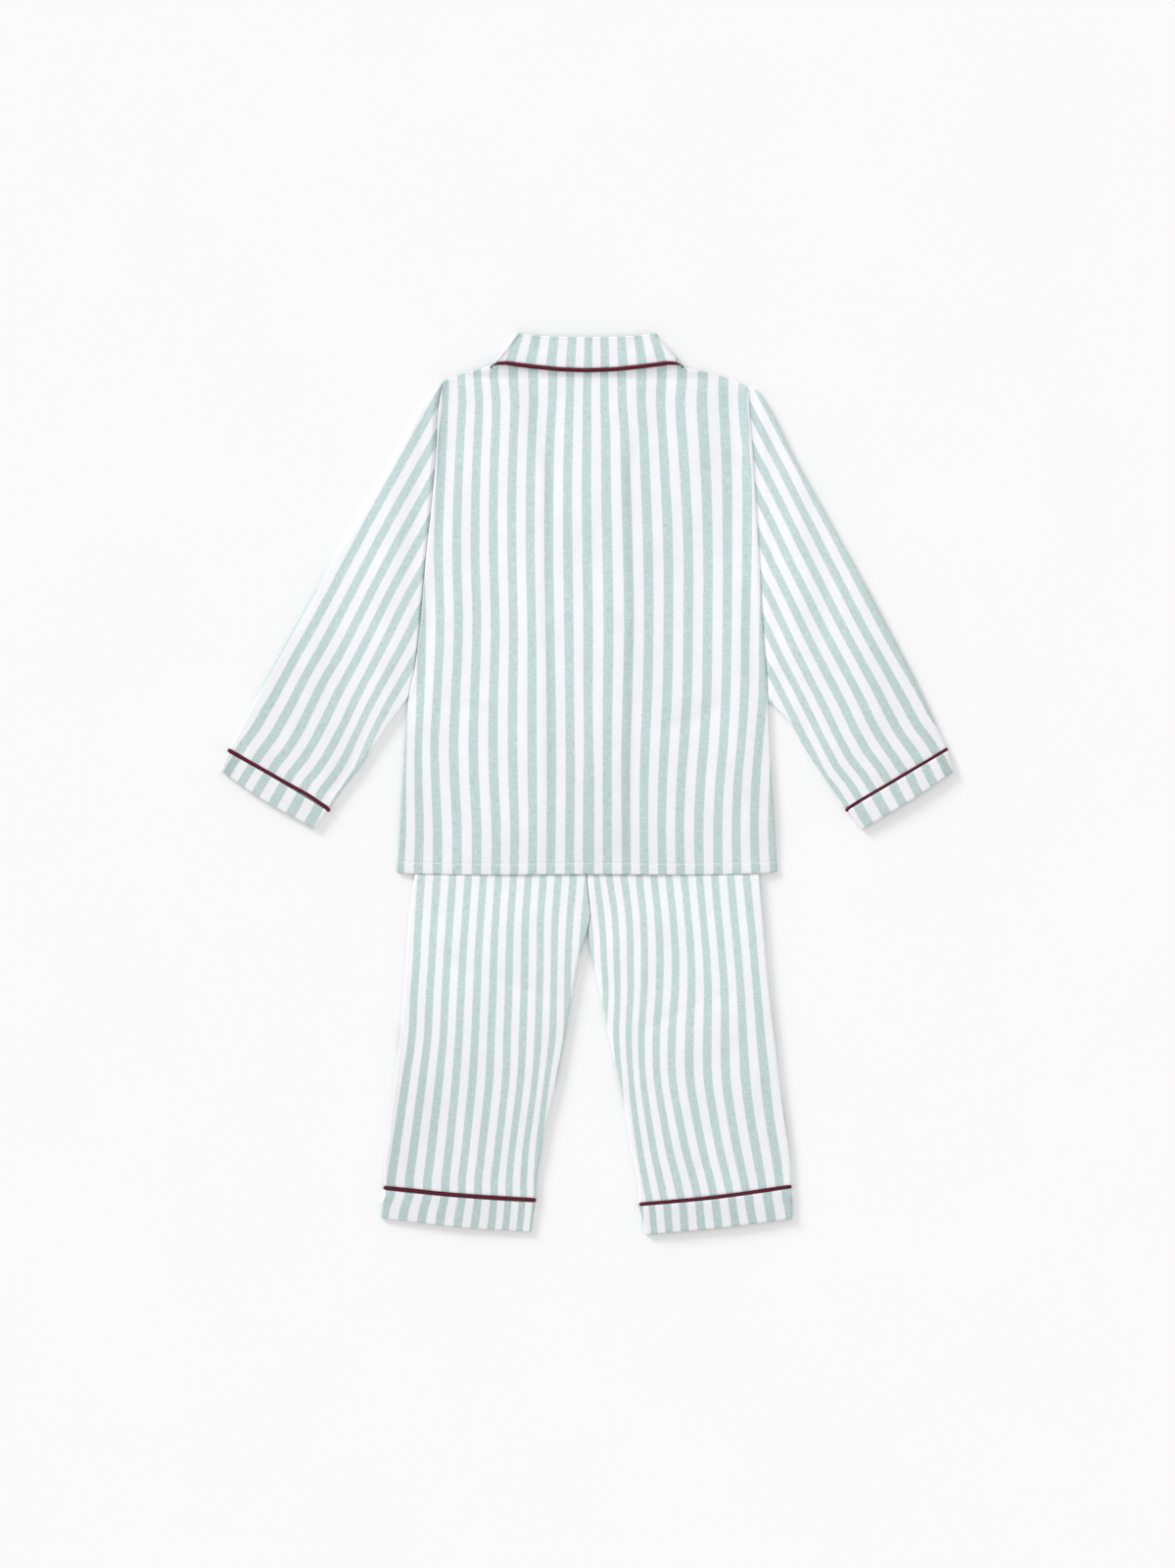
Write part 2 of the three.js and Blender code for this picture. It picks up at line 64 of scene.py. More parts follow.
# Smooth curve through (place, value) points, level past both ends
def throughPoints(at, points):
    keys, values = np.array(sorted(points), float).T
    slopes = np.gradient(values, keys)
    at = np.clip(at, keys[0], keys[-1])
    i = np.clip(np.searchsorted(keys, at, side="right") - 1, 0, len(keys) - 2)
    span = keys[i + 1] - keys[i]
    t = (at - keys[i]) / span
    bend = t * (1 - t) * span
    return (values[i] + (3 - 2 * t) * t * t * (values[i + 1] - values[i])
            + bend * ((1 - t) * slopes[i] - t * slopes[i + 1]))


# Point at a share of the length of a smooth line through (x, y) points
def alongLine(share, points):
    points = np.array(points, float)
    steps = np.hypot(*np.diff(points, axis=0).T)
    places = np.concatenate([[0], np.cumsum(steps)]) / steps.sum()
    return np.stack([throughPoints(share, zip(places, points[:, k])) for k in (0, 1)], axis=-1)


def between(first, last, share):
    return first + (last - first) * share


# 0 before none, 1 after full, and a soft rise between them
def ease(value, none, full):
    t = np.clip((value - none) / (full - none), 0, 1)
    return t * t * (3 - 2 * t)


# A quarter of a circle, from 0 at its foot to 1 at its top
def quarterRound(value, radius):
    return np.sqrt(np.clip(1 - (1 - np.clip(value / radius, 0, 1)) ** 2, 0, 1))


# How far a turned edge drops below the panel, at a distance in from it
def rollOff(distance, radius, drop):
    return drop * (1 - quarterRound(distance, radius))


# 0 at both ends and 1 in the middle, full like cloth that is held at its edges
def arch(share):
    return np.sqrt(np.clip(np.sin(np.pi * share), 0, 1))


# Shares of a length, close together at the turned edges and even between them
def gridShares(length, step, edge=3):
    fine = np.array([0, 0.04, 0.15, 0.32, 0.6, 1]) * edge / length
    middle = np.linspace(fine[-1], 1 - fine[-1], max(4, round((length - 2 * edge) / step)))
    return np.concatenate([fine[:-1], middle, 1 - fine[-2::-1]])


# 1 at the place itself, falling off softly to both sides
def near(distance, reach):
    return np.exp(-(distance / reach) ** 2)


# Soft troughs and ridges, laid one by one. The columns of a "creases" table are the line's two ends, its half
# width, its height, the length over which it fades at its ends, and how far its middle bows out.
def creaseHeight(x, y, creases):
    height = np.zeros_like(x)
    for x0, y0, x1, y1, width, tall, fading, bow in creases:
        length = math.hypot(x1 - x0, y1 - y0)
        along = ((x - x0) * (x1 - x0) + (y - y0) * (y1 - y0)) / length
        off = ((x - x0) * (y1 - y0) - (y - y0) * (x1 - x0)) / length
        off = off - bow * np.clip(4 * along * (length - along) / length ** 2, -1, 1)
        fade = ease(along, -fading, fading) * ease(along, length + fading, length - fading)
        height += tall * fade * near(off, width)
    return height


# The slack that laid cloth keeps: long low swells of no fixed spacing
def slackHeight(x, y, seed, height=0.3):
    rng = np.random.default_rng(seed)
    total = np.zeros_like(x)
    for size in (150, 95, 60, 38, 24):
        turn, phase = rng.uniform(-0.6, 0.6), rng.uniform(0, 6.28, 2)
        across = x * math.cos(turn) + y * math.sin(turn)
        along = y * math.cos(turn) - x * math.sin(turn)
        wave = np.sin(6.28 * across / size + phase[0] + 0.8 * np.sin(6.28 * along / (2.3 * size) + phase[1]))
        total += wave * (size / 150) ** 0.8
    return height * total


# Which stripe lies at each point. Whole numbers are the middles of mint stripes.
def stripeAt(x, y, lay):
    numbers, rows = lay["stripes"], lay["rows"]
    places = [throughPoints(y, [(row[0], row[1 + k]) for row in rows]) for k in range(len(numbers))]
    stripe = None
    for k in range(len(numbers) - 1):
        here = numbers[k] + (x - places[k]) / (places[k + 1] - places[k]) * (numbers[k + 1] - numbers[k])
        past = (x - places[k]) * (places[k + 1] - places[k]) > 0
        stripe = here if stripe is None else np.where(past, here, stripe)
    return stripe


# A setting that is one number for the whole piece, or a function of the place on it
def valueAt(given, *places):
    return given(*places) if callable(given) else given


# Which way the outer face of a grid of points looks
def outwardNormals(grid, isTube):
    if isTube:
        wide = np.concatenate([grid[:, -1:], grid, grid[:, :1]], axis=1)
        across = wide[:, 2:] - wide[:, :-2]
    else:
        across = np.gradient(grid, axis=1)
    normals = np.cross(across, np.gradient(grid, axis=0))
    return normals / np.maximum(np.linalg.norm(normals, axis=2, keepdims=True), 1e-9)


# Points in metres, their faces, and where each face's corners lie on the cloth or tape
def buildMesh(name, points, faces, layName, lay):
    mesh = bpy.data.meshes.new(name)
    mesh.from_pydata(np.array(points).tolist(), [], faces)
    mesh.uv_layers.new(name=layName).data.foreach_set("uv", np.array(lay, np.float32).ravel())
    return mesh


def addObject(name, data):
    made = bpy.data.objects.new(name, data)
    scene.collection.objects.link(made)
    return made


# A closed thin shell: a grid of points, the same grid a thickness further in, and the edges between.
# lay holds the stripe and the run of the cloth at each point. A tube's has one more column than its
# grid. deep is painted shade: at 1 the cloth is drawn darker, as its folds, seams and low places look
# in shade, and below 0 lighter, as painted light. facing is -1 for a grid that runs to the right and
# down, to bring its normals up again.
def addShell(name, grid, lay, mintShare, deep, isTube=False, facing=1):
    normals = outwardNormals(grid, isTube) * facing
    inner = grid - normals * cloth["thickness"]
    rows, columns = grid.shape[:2]
    laid = lay.shape[1]
    steps = columns if isTube else columns - 1
    r, c = [part.ravel() for part in np.mgrid[0:rows - 1, 0:steps]]
    corners = []

    def addFaces(*sides):
        corners.append(np.stack([np.stack(np.broadcast_arrays(*side), axis=-1) for side in sides], axis=1))

    addFaces((0, r, c), (0, r, c + 1), (0, r + 1, c + 1), (0, r + 1, c))
    addFaces((1, r, c), (1, r + 1, c), (1, r + 1, c + 1), (1, r, c + 1))
    end, c = rows - 1, np.arange(steps)
    addFaces((0, 0, c), (1, 0, c), (1, 0, c + 1), (0, 0, c + 1))
    addFaces((0, end, c), (0, end, c + 1), (1, end, c + 1), (1, end, c))
    if not isTube:
        end, r = columns - 1, np.arange(rows - 1)
        addFaces((0, r, 0), (0, r + 1, 0), (1, r + 1, 0), (1, r, 0))
        addFaces((0, r, end), (1, r, end), (1, r + 1, end), (0, r + 1, end))
    corners = np.concatenate(corners)
    points = np.concatenate([grid.reshape(-1, 3), inner.reshape(-1, 3)]) * mm
    points[:, 2] = np.maximum(points[:, 2], cloth["offFloor"] * mm)
    faces = corners[..., 0] * rows * columns + corners[..., 1] * columns + corners[..., 2] % columns
    mesh = buildMesh(name, points, faces.tolist(), "clothLay", lay[corners[..., 1], corners[..., 2] % laid])
    # The deep values carry painted shade to the material
    for title, values in (("mintShare", mintShare), ("deep", deep)):
        values = np.tile(np.broadcast_to(values, (rows, columns)).reshape(-1), 2)
        mesh.attributes.new(title, "FLOAT", "POINT").data.foreach_set("value", values.astype(np.float32))
    return finishPiece(name, mesh, pyjamaCotton)


# Any mesh: facing outwards, shaded smooth, in the scene, with its material
def finishPiece(name, mesh, material):
    shape = bmesh.new()
    shape.from_mesh(mesh)
    bmesh.ops.recalc_face_normals(shape, faces=shape.faces)
    shape.to_mesh(mesh)
    shape.free()
    mesh.shade_smooth()
    mesh.materials.append(material)
    return addObject(name, mesh)


# A cord through rings of points, closed on itself or with flat ends
def addCordMesh(name, rings, material, isLoop, runStep):
    count, sides = rings.shape[:2]
    last = count if isLoop else count - 1
    r, s = [part.ravel() for part in np.mgrid[0:last, 0:sides]]
    ringAt = np.stack([r, r + 1, r + 1, r], axis=1)
    sideAt = np.stack([s, s, s + 1, s + 1], axis=1)
    faces = ((ringAt % count) * sides + sideAt % sides).tolist()
    uvs = np.stack([sideAt / sides, ringAt * runStep], axis=-1).reshape(-1, 2)
    if not isLoop:
        faces += [list(range(sides)), [(count - 1) * sides + side for side in range(sides)]]
        uvs = np.concatenate([uvs, np.zeros((2 * sides, 2))])
    return finishPiece(name, buildMesh(name, rings.reshape(-1, 3) * mm, faces, "tapeLay", uvs), material)


def toLinear(hexColour):
    parts = [int(hexColour[i:i + 2], 16) / 255 for i in (1, 3, 5)]
    return [p / 12.92 if p <= 0.04045 else ((p + 0.055) / 1.055) ** 2.4 for p in parts] + [1]


# Adds a node, gives its fields and sockets their values, links others into it and returns its outputs
def addNode(tree, kind, settings=None, links=None):
    node = tree.nodes.new(kind)
    for key, value in (settings or {}).items():
        if isinstance(key, str) and key in node.bl_rna.properties:
            setattr(node, key, value)
        else:
            node.inputs[key].default_value = value
    for key, source in (links or {}).items():
        tree.links.new(source, node.inputs[key])
    return node.outputs


def newMaterial(name):
    material = bpy.data.materials.new(name)
    material.use_nodes = True
    material.node_tree.nodes.clear()
    return material, material.node_tree


# Yarn-dyed brushed cotton: mint and white warp stripes in a fine plain weave. Matt, with a faint nap
# that softens every edge, flecks where single threads are thicker or paler, and stripe edges that no
# thread keeps quite straight.
stripedCotton = {
    "mintMiddle": "#bbd0ce",
    "mintSide": "#bfcfcf",
    "whiteSide": "#e8ebef",
    "whiteMiddle": "#ecebef",
    "edgeBlur": 0.03,       # of a stripe's pitch: one or two threads
    "edgeWander": 0.035,
    # Flecks per pitch across and along. The threads are 0.3 mm, drawn five times as coarse to show.
    "warpFlecks": (11, 2.6),
    "weftFlecks": (2.2, 13),
    "fleckContrast": 0.24,
    "toneContrast": 0.035,
    "paintedShadeTone": 0.1,        # how much darker painted shade makes the mint
    "paintedShadeOnWhite": 0.6,     # and what share of that the white takes
    "roughness": 0.88,
    "weaveHeight": 0.00012,
}


def makeStripedCotton(look):
    material, tree = newMaterial("stripedBrushedCotton")
    lay = addNode(tree, "ShaderNodeUVMap", {"uv_map": "clothLay"})["UV"]
    across = addNode(tree, "ShaderNodeSeparateXYZ", links={0: lay})["X"]

    # Stripes: distance from the middle of the nearest mint one, with the edge threads wandering
    wanderAt = addNode(tree, "ShaderNodeMapping", {"Scale": (5, 9, 1)}, {"Vector": lay})[0]
    wander = addNode(tree, "ShaderNodeTexNoise", {"noise_dimensions": "2D", "Scale": 1, "Detail": 2},
                     {"Vector": wanderAt})["Fac"]
    shift = addNode(tree, "ShaderNodeMath", {"operation": "MULTIPLY_ADD", 1: look["edgeWander"],
                                             2: -look["edgeWander"] / 2}, {0: wander})[0]
    moved = addNode(tree, "ShaderNodeMath", {"operation": "ADD"}, {0: across, 1: shift})[0]
    off = addNode(tree, "ShaderNodeMath", {"operation": "PINGPONG", 1: 0.5}, {0: moved})[0]
    share = addNode(tree, "ShaderNodeAttribute", {"attribute_name": "mintShare"})["Fac"]
    half = addNode(tree, "ShaderNodeMath", {"operation": "MULTIPLY", 1: 0.5}, {0: share})[0]
    past = addNode(tree, "ShaderNodeMath", {"operation": "SUBTRACT"}, {0: off, 1: half})[0]
    isMint = addNode(tree, "ShaderNodeMapRange", {
        "interpolation_type": "SMOOTHSTEP", "From Min": look["edgeBlur"], "From Max": -look["edgeBlur"],
    }, {"Value": past})[0]
    mintOut = addNode(tree, "ShaderNodeMapRange", {"From Min": -0.25, "From Max": -0.02},
                      {"Value": past})[0]
    whiteIn = addNode(tree, "ShaderNodeMapRange", {"From Min": 0.04, "From Max": 0.22},
                      {"Value": past})[0]
    mint = addNode(tree, "ShaderNodeMix", {"data_type": "RGBA", 6: toLinear(look["mintMiddle"]),
                                           7: toLinear(look["mintSide"])}, {0: mintOut})[2]
    white = addNode(tree, "ShaderNodeMix", {"data_type": "RGBA", 6: toLinear(look["whiteSide"]),
                                            7: toLinear(look["whiteMiddle"])}, {0: whiteIn})[2]
    dyed = addNode(tree, "ShaderNodeMix", {"data_type": "RGBA"}, {0: isMint, 6: white, 7: mint})[2]

    # Flecks along the warp and the weft, stronger in the dyed threads, and a slow change of tone
    flecks = []
    for spacing in (look["warpFlecks"], look["weftFlecks"]):
        at = addNode(tree, "ShaderNodeMapping", {"Scale": (*spacing, 1)}, {"Vector": lay})[0]
        flecks.append(addNode(tree, "ShaderNodeTexNoise", {
            "noise_dimensions": "2D", "Scale": 1, "Detail": 3, "Roughness": 0.65,
        }, {"Vector": at})["Fac"])
    fleck = addNode(tree, "ShaderNodeMath", {"operation": "ADD"}, {0: flecks[0], 1: flecks[1]})[0]
    contrast = addNode(tree, "ShaderNodeMapRange", {
        "To Min": look["fleckContrast"] * 0.3, "To Max": look["fleckContrast"] * 1.6,
    }, {"Value": isMint})[0]
    fleckTone = addNode(tree, "ShaderNodeMath", {"operation": "SUBTRACT", 1: 1}, {0: fleck})[0]
    fleckTone = addNode(tree, "ShaderNodeMath", {"operation": "MULTIPLY_ADD", 2: 1},
                        {0: fleckTone, 1: contrast})[0]
    slow = addNode(tree, "ShaderNodeTexNoise", {"noise_dimensions": "2D", "Scale": 0.55, "Detail": 2},
                   {"Vector": lay})["Fac"]
    slowTone = addNode(tree, "ShaderNodeMapRange", {
        "To Min": 1 - look["toneContrast"], "To Max": 1 + look["toneContrast"],
    }, {"Value": slow})[0]
    tone = addNode(tree, "ShaderNodeMath", {"operation": "MULTIPLY"}, {0: fleckTone, 1: slowTone})[0]
    # Painted shade: the deep attribute darkens the cloth, the mint more than the white
    deep = addNode(tree, "ShaderNodeAttribute", {"attribute_name": "deep"})["Fac"]
    paintedShadeShare = addNode(tree, "ShaderNodeMapRange", {
        "To Min": -look["paintedShadeOnWhite"] * look["paintedShadeTone"], "To Max": -look["paintedShadeTone"],
    }, {"Value": isMint})[0]
    paintedShadeTone = addNode(tree, "ShaderNodeMath", {"operation": "MULTIPLY_ADD", 2: 1},
                       {0: deep, 1: paintedShadeShare})[0]
    tone = addNode(tree, "ShaderNodeMath", {"operation": "MULTIPLY"}, {0: tone, 1: paintedShadeTone})[0]
    colour = addNode(tree, "ShaderNodeVectorMath", {"operation": "SCALE"},
                     {0: dyed, "Scale": tone})[0]

    bump = addNode(tree, "ShaderNodeBump", {"Strength": 0.5, "Distance": look["weaveHeight"]},
                   {"Height": fleck})[0]
    surface = addNode(tree, "ShaderNodeBsdfPrincipled", {
        "Roughness": look["roughness"], "Specular IOR Level": 0.25,
        "Sheen Weight": 0.12, "Sheen Roughness": 0.55,
    }, {"Base Color": colour, "Normal": bump})[0]
    addNode(tree, "ShaderNodeOutputMaterial", links={"Surface": surface})
    return material


# Dark red cotton bias tape, folded over a thin cord: matt, with fine slanting ribs and paler worn threads
pipingTape = {
    "deep": "#4f0e22",
    "thread": "#7b2138",
    "ribs": 2.2,            # slanting ribs per millimetre of run, drawn four times as coarse as the threads
    "roughness": 0.8,
    "ribHeight": 0.0002,
}


def makePipingTape(look):
    material, tree = newMaterial("cottonBiasTape")
    lay = addNode(tree, "ShaderNodeUVMap", {"uv_map": "tapeLay"})["UV"]
    turned = addNode(tree, "ShaderNodeMapping", {"Scale": (3, look["ribs"], 1), "Rotation": (0, 0, 0.5)},
                     {"Vector": lay})[0]
    ribs = addNode(tree, "ShaderNodeTexWave", {
        "bands_direction": "Y", "Scale": 0.32, "Distortion": 1.4, "Detail": 2,
    }, {"Vector": turned})["Fac"]
    fibres = addNode(tree, "ShaderNodeTexNoise", {"noise_dimensions": "2D", "Scale": 3, "Detail": 3},
                     {"Vector": turned})["Fac"]
    worn = addNode(tree, "ShaderNodeMath", {"operation": "MULTIPLY"}, {0: ribs, 1: fibres})[0]
    colour = addNode(tree, "ShaderNodeMix", {"data_type": "RGBA", 6: toLinear(look["deep"]),
                                             7: toLinear(look["thread"])}, {0: worn})[2]
    bump = addNode(tree, "ShaderNodeBump", {"Strength": 0.6, "Distance": look["ribHeight"]},
                   {"Height": ribs})[0]
    surface = addNode(tree, "ShaderNodeBsdfPrincipled", {
        "Roughness": look["roughness"], "Specular IOR Level": 0.15,
        "Sheen Weight": 0.03, "Sheen Roughness": 0.5,
    }, {"Base Color": colour, "Normal": bump})[0]
    addNode(tree, "ShaderNodeOutputMaterial", links={"Surface": surface})
    return material


# Spun polyester sewing thread: off-white, with a soft twist, drawn as painted shade in its hollows and
# painted highlight on its ridges
spunThread = {"twistShade": "#dde7e6", "light": "#ecf2f2", "roughness": 0.6}


def makeSewingThread(look):
    material, tree = newMaterial("spunPolyesterThread")
    lay = addNode(tree, "ShaderNodeUVMap", {"uv_map": "tapeLay"})["UV"]
    turned = addNode(tree, "ShaderNodeMapping", {"Rotation": (0, 0, 0.8), "Scale": (4, 2, 1)},
                     {"Vector": lay})[0]
    twist = addNode(tree, "ShaderNodeTexWave", {"Scale": 1}, {"Vector": turned})["Fac"]
    colour = addNode(tree, "ShaderNodeMix", {"data_type": "RGBA", 6: toLinear(look["twistShade"]),
                                             7: toLinear(look["light"])}, {0: twist})[2]
    surface = addNode(tree, "ShaderNodeBsdfPrincipled", {"Roughness": look["roughness"], "Sheen Weight": 0.2},
                      {"Base Color": colour})[0]
    addNode(tree, "ShaderNodeOutputMaterial", links={"Surface": surface})
    return material


# Cast polyester resin, turned and polished: milky, with faint cloudy swirls and a soft gloss
buttonCast = {"cloud": "#dfdcd2", "milk": "#f3f1ea", "roughness": 0.28, "swirls": 260}


def makeButtonResin(look):
    material, tree = newMaterial("castPolyesterResin")
    place = addNode(tree, "ShaderNodeTexCoord")["Object"]
    swirl = addNode(tree, "ShaderNodeTexNoise", {"Scale": look["swirls"], "Detail": 3, "Distortion": 1.5},
                    {"Vector": place})["Fac"]
    colour = addNode(tree, "ShaderNodeMix", {"data_type": "RGBA", 6: toLinear(look["cloud"]),
                                             7: toLinear(look["milk"])}, {0: swirl})[2]
    surface = addNode(tree, "ShaderNodeBsdfPrincipled", {
        "Roughness": look["roughness"], "IOR": 1.55,
        "Subsurface Weight": 0.1, "Subsurface Radius": (0.002, 0.002, 0.0015),
    }, {"Base Color": colour})[0]
    addNode(tree, "ShaderNodeOutputMaterial", links={"Surface": surface})
    return material


pyjamaCotton = makeStripedCotton(stripedCotton)
biasTape = makePipingTape(pipingTape)
sewingThread = makeSewingThread(spunThread)
buttonResin = makeButtonResin(buttonCast)


# Hangs a cloth piece under the root body and hides the solid that it stands for
def layCloth(piece, node):
    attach(piece, "root")
    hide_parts(node)


# The same for a piping, a button or a row of stitches
def layTrim(piece, node):
    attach(piece, "root")
    if node:
        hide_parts(node)


trousers = {
    "waistTop": 105,
    "waistband": 25,
    "legLength": 455,
    "rise": 2.0,             # how far a leg stands up where it comes out from under the jacket
    "forkRise": 0.8,         # and how much more beside the fork
    "puff": 2.4,             # how far it swells above its flat lay further down
    # painted light, a little over the whole of both legs
    "paintedLight": -0.15,
    "edgeRoll": 1.2,
    "edgeDrop": 1.6,
    "pipingGap": 1.9,        # from the middle of the piping to the cloth's edge
}
# Outer and inner edge are (height, place across). Piping and end are (place across, height).
legs = {
    "left": {
        "outer": [(105, -138), (0, -152.5), (-82, -159.3), (-129, -164.9), (-187, -168.8), (-255, -175.5),
                  (-301, -181.1), (-372, -187.9)],
        "inner": [(105, -1), (0, -1), (-82, -1), (-98, 0.1), (-123, 1.7), (-135, -0.6), (-145, -3.4),
                  (-157, -7.7), (-180, -12.2), (-209, -17.1), (-267, -27.4), (-319, -39.6), (-383, -48.1)],
        "piping": [(-187.7, -371.2), (-117.9, -378.2), (-48.1, -382.6)],
        "end": [(-190.3, -398.9), (-121, -407), (-52.5, -411.8)],
        "side": -1,
        "slackSeed": 11,
        "pipingWidth": 2.8,
        "lowPaintedShade": 0.9,      # painted shade: how much darker it is drawn towards the hem, the outer side and the very edge
        "sidePaintedShade": 0.9,
        "edgePaintedShade": 0.7,
        # Height, then where the numbered mint stripes lie across
        "stripes": {"stripes": (1, 3, 6, 8, 10), "rows": [
            (105, -130, -104, -65, -39, -14),
            (-94, -139.3, -110.5, -69, -41.6, -14.2),
            (-125, -141.4, -112.6, -71.2, -43.7, -16.7),
            (-161, -143.4, -115.2, -72.3, -43.7, -18.3),
            (-197, -145.6, -116.8, -73, -44.6, -18.9),
            (-233, -147.4, -118.6, -74.3, -45.7, -19.9),
            (-269, -151.7, -121.1, -75.2, -48.2, -26.6),
            (-305, -156.3, -124.6, -78.9, -52.8, -31),
            (-341, -161.1, -128.2, -83.2, -57.6, -34.2),
            (-364, -164.3, -131, -86, -59, -35.6)]},
        "bandStripes": {"stripes": (0, 2, 4, 6, 8, 9), "rows": [
            (-378, -181.5, -147, -115, -86.5, -60, -48),
            (-391, -186.5, -151, -117.5, -87, -61, -49),
            (-412, -188, -154, -120.5, -89.5, -63, -51.5)]},
        "creases": [
            (-142, -157, -20, -199, 6.5, -0.6, 26, 3), (-138, -142, -45, -170, 14, 0.45, 30, 0),
            (-112, -232, -58, -246, 8, -0.4, 18, -2), (-170, -270, -182, -364, 11, -0.5, 25, 0),
            (-150, -300, -105, -350, 13, -0.4, 22, 4), (-60, -300, -52, -370, 7, -0.35, 16, 0),
            (-9, -150, -14, -215, 5, 0.4, 18, 0),
        ],
    },
    "right": {
        "outer": [(105, 138.5), (0, 151.5), (-82, 158), (-136, 161.8), (-187, 166.3), (-233, 171.9),
                  (-279, 177), (-324, 183.4), (-370, 186.9)],
        "inner": [(105, -1), (0, -1), (-82, -1), (-98, 0.1), (-123, 1.9), (-135, 0.4), (-145, 0.9),
                  (-153, 2.2), (-180, 8.6), (-232, 19.4), (-301, 34.2), (-359, 42.8), (-387, 47.5)],
        "piping": [(186.9, -370.2), (117.2, -380.1), (47.4, -386.7)],
        "end": [(187.5, -398.9), (122, -407.3), (53.6, -413.5)],
        "side": 1,
        "slackSeed": 12,
        "pipingWidth": 2.5,
        "lowPaintedShade": 0.6,
        "sidePaintedShade": 0.3,
        "edgePaintedShade": 0,
        "stripes": {"stripes": (1, 3, 6, 8, 10, 11, 12), "rows": [
            (105, 133, 107, 68, 42, 16.5, 4.5, -7.5), (-94, 146.5, 117.2, 75.2, 47.9, 20.5, 8.9, -2.9),
            (-116, 148.6, 119, 77.6, 50.3, 24, 11.6, -0.5), (-139, 150.8, 121.3, 79.4, 51.5, 25.7, 13.7, 2),
            (-161, 152.8, 123.3, 80.5, 51.7, 26.1, 14.7, 2.9), (-187, 155, 125.2, 80, 51.4, 27, 16.3, 4.4),
            (-233, 158.9, 125.9, 76.7, 48.8, 26, 15, 4), (-269, 162.5, 126.5, 77, 50, 28.8, 18, 7),
            (-305, 166.5, 131.4, 83.1, 54.9, 31.5, 20, 8), (-341, 172.5, 138, 90.9, 60.9, 36, 24, 12),
            (-362, 175.5, 142.7, 96.8, 65.6, 39, 26, 13),
            (-382, 177, 146.7, 101.3, 69.8, 43, 30, 17)]},
        "bandStripes": {"stripes": (0, 2, 4, 6, 8, 9), "rows": [
            (-378, 182.3, 147, 116.5, 86.5, 57.5, 47),
            (-391, 185, 149, 118, 87.5, 58.5, 48),
            (-412, 187, 153, 120.5, 89, 60.5, 50)]},
        "creases": [
            (50, -227, 136, -192, 6, -0.5, 24, -3), (62, -246, 140, -214, 13, 0.4, 26, 0),
            (8, -104, 17, -140, 7, -0.55, 14, 0), (34, -284, 98, -316, 10, -0.45, 22, 3),
            (95, -262, 150, -240, 11, -0.3, 20, 0), (104, -330, 158, -352, 12, 0.4, 22, 0),
            (172, -300, 180, -368, 8, -0.4, 20, 0),
        ],
    },
}


# A piping's line, moved down (positive) or up along the leg or sleeve
def movedLine(share, points, distance):
    line = alongLine(share, points)
    across = np.array(points[-1], float) - np.array(points[0], float)
    across /= np.hypot(*across)
    down = np.array([across[1], -across[0]]) * (1 if across[0] > 0 else -1)
    return line + down * distance


def addLegPanel(name, leg, isBack):
    step = cloth["step"] if isBack else cloth["hiddenStep"]
    top = trousers["waistTop"] - trousers["waistband"] - 0.3
    across = gridShares(150, step)
    down = gridShares(trousers["legLength"], step)
    share, fall = np.meshgrid(across, down)
    hem = movedLine(share, leg["piping"], -trousers["pipingGap"])
    y = between(top, hem[..., 1], fall)
    outer, inner = throughPoints(y, leg["outer"]), throughPoints(y, leg["inner"]) + 0.15 * leg["side"]
    x = between(outer, inner, share)
    x = between(x, hem[..., 0], np.clip((fall - 0.9) / 0.1, 0, 1))
    width = np.abs(inner - outer)
    edge = np.minimum(share, 1 - share) * width
    if isBack:
        # Free of the jacket, the leg swells at once, then falls away towards its hem
        free, atSeam = ease(y, -80.5, -84), ease(y, -150, -128) * (share > 0.5)
        swell = trousers["puff"] * arch(share) * ease(y, -84, -150)
        rise = trousers["rise"] + trousers["forkRise"] * near(x, 45) * ease(y, -150, -95)
        rise = rise + swell * ease(y, -400, -230) + creaseHeight(x, y, leg["creases"])
        slack = slackHeight(x, y, leg["slackSeed"], 0.26) * ease(edge, 0, 25) * ease(y, -90, -130)
        z = layers["next"] + layers["wall"] + free * (rise + slack)
        drop = trousers["edgeDrop"] + 1.2 * free
        z = z - rollOff(edge, trousers["edgeRoll"], drop * (1 - 0.6 * atSeam))
        z = z - rollOff((1 - fall) * trousers["legLength"], 2.5, 1.1)
    else:
        z = layers["wall"] - rollOff(edge, 2, 0.3) + 0 * x
    grid = np.stack([x, y, z], axis=-1)
    lay = np.stack([stripeAt(x, y, leg["stripes"]), y / cloth["stripePitch"]], axis=-1)
    # Painted shade: the legs are drawn darker towards their hems, most of all the left one along its outer
    # edge, and a little lighter all over as painted light
    deep = ease(y, -120, -330) * leg["lowPaintedShade"] + trousers["paintedLight"]
    deep = deep + ease(y, -130, -290) * ease(share, 0.4, 0) * leg["sidePaintedShade"]
    deep = deep + leg["edgePaintedShade"] * ease(share * width, 4, 1)
    return addShell(name, grid, lay, cloth["trimMintShare"], deep, facing=leg["side"])


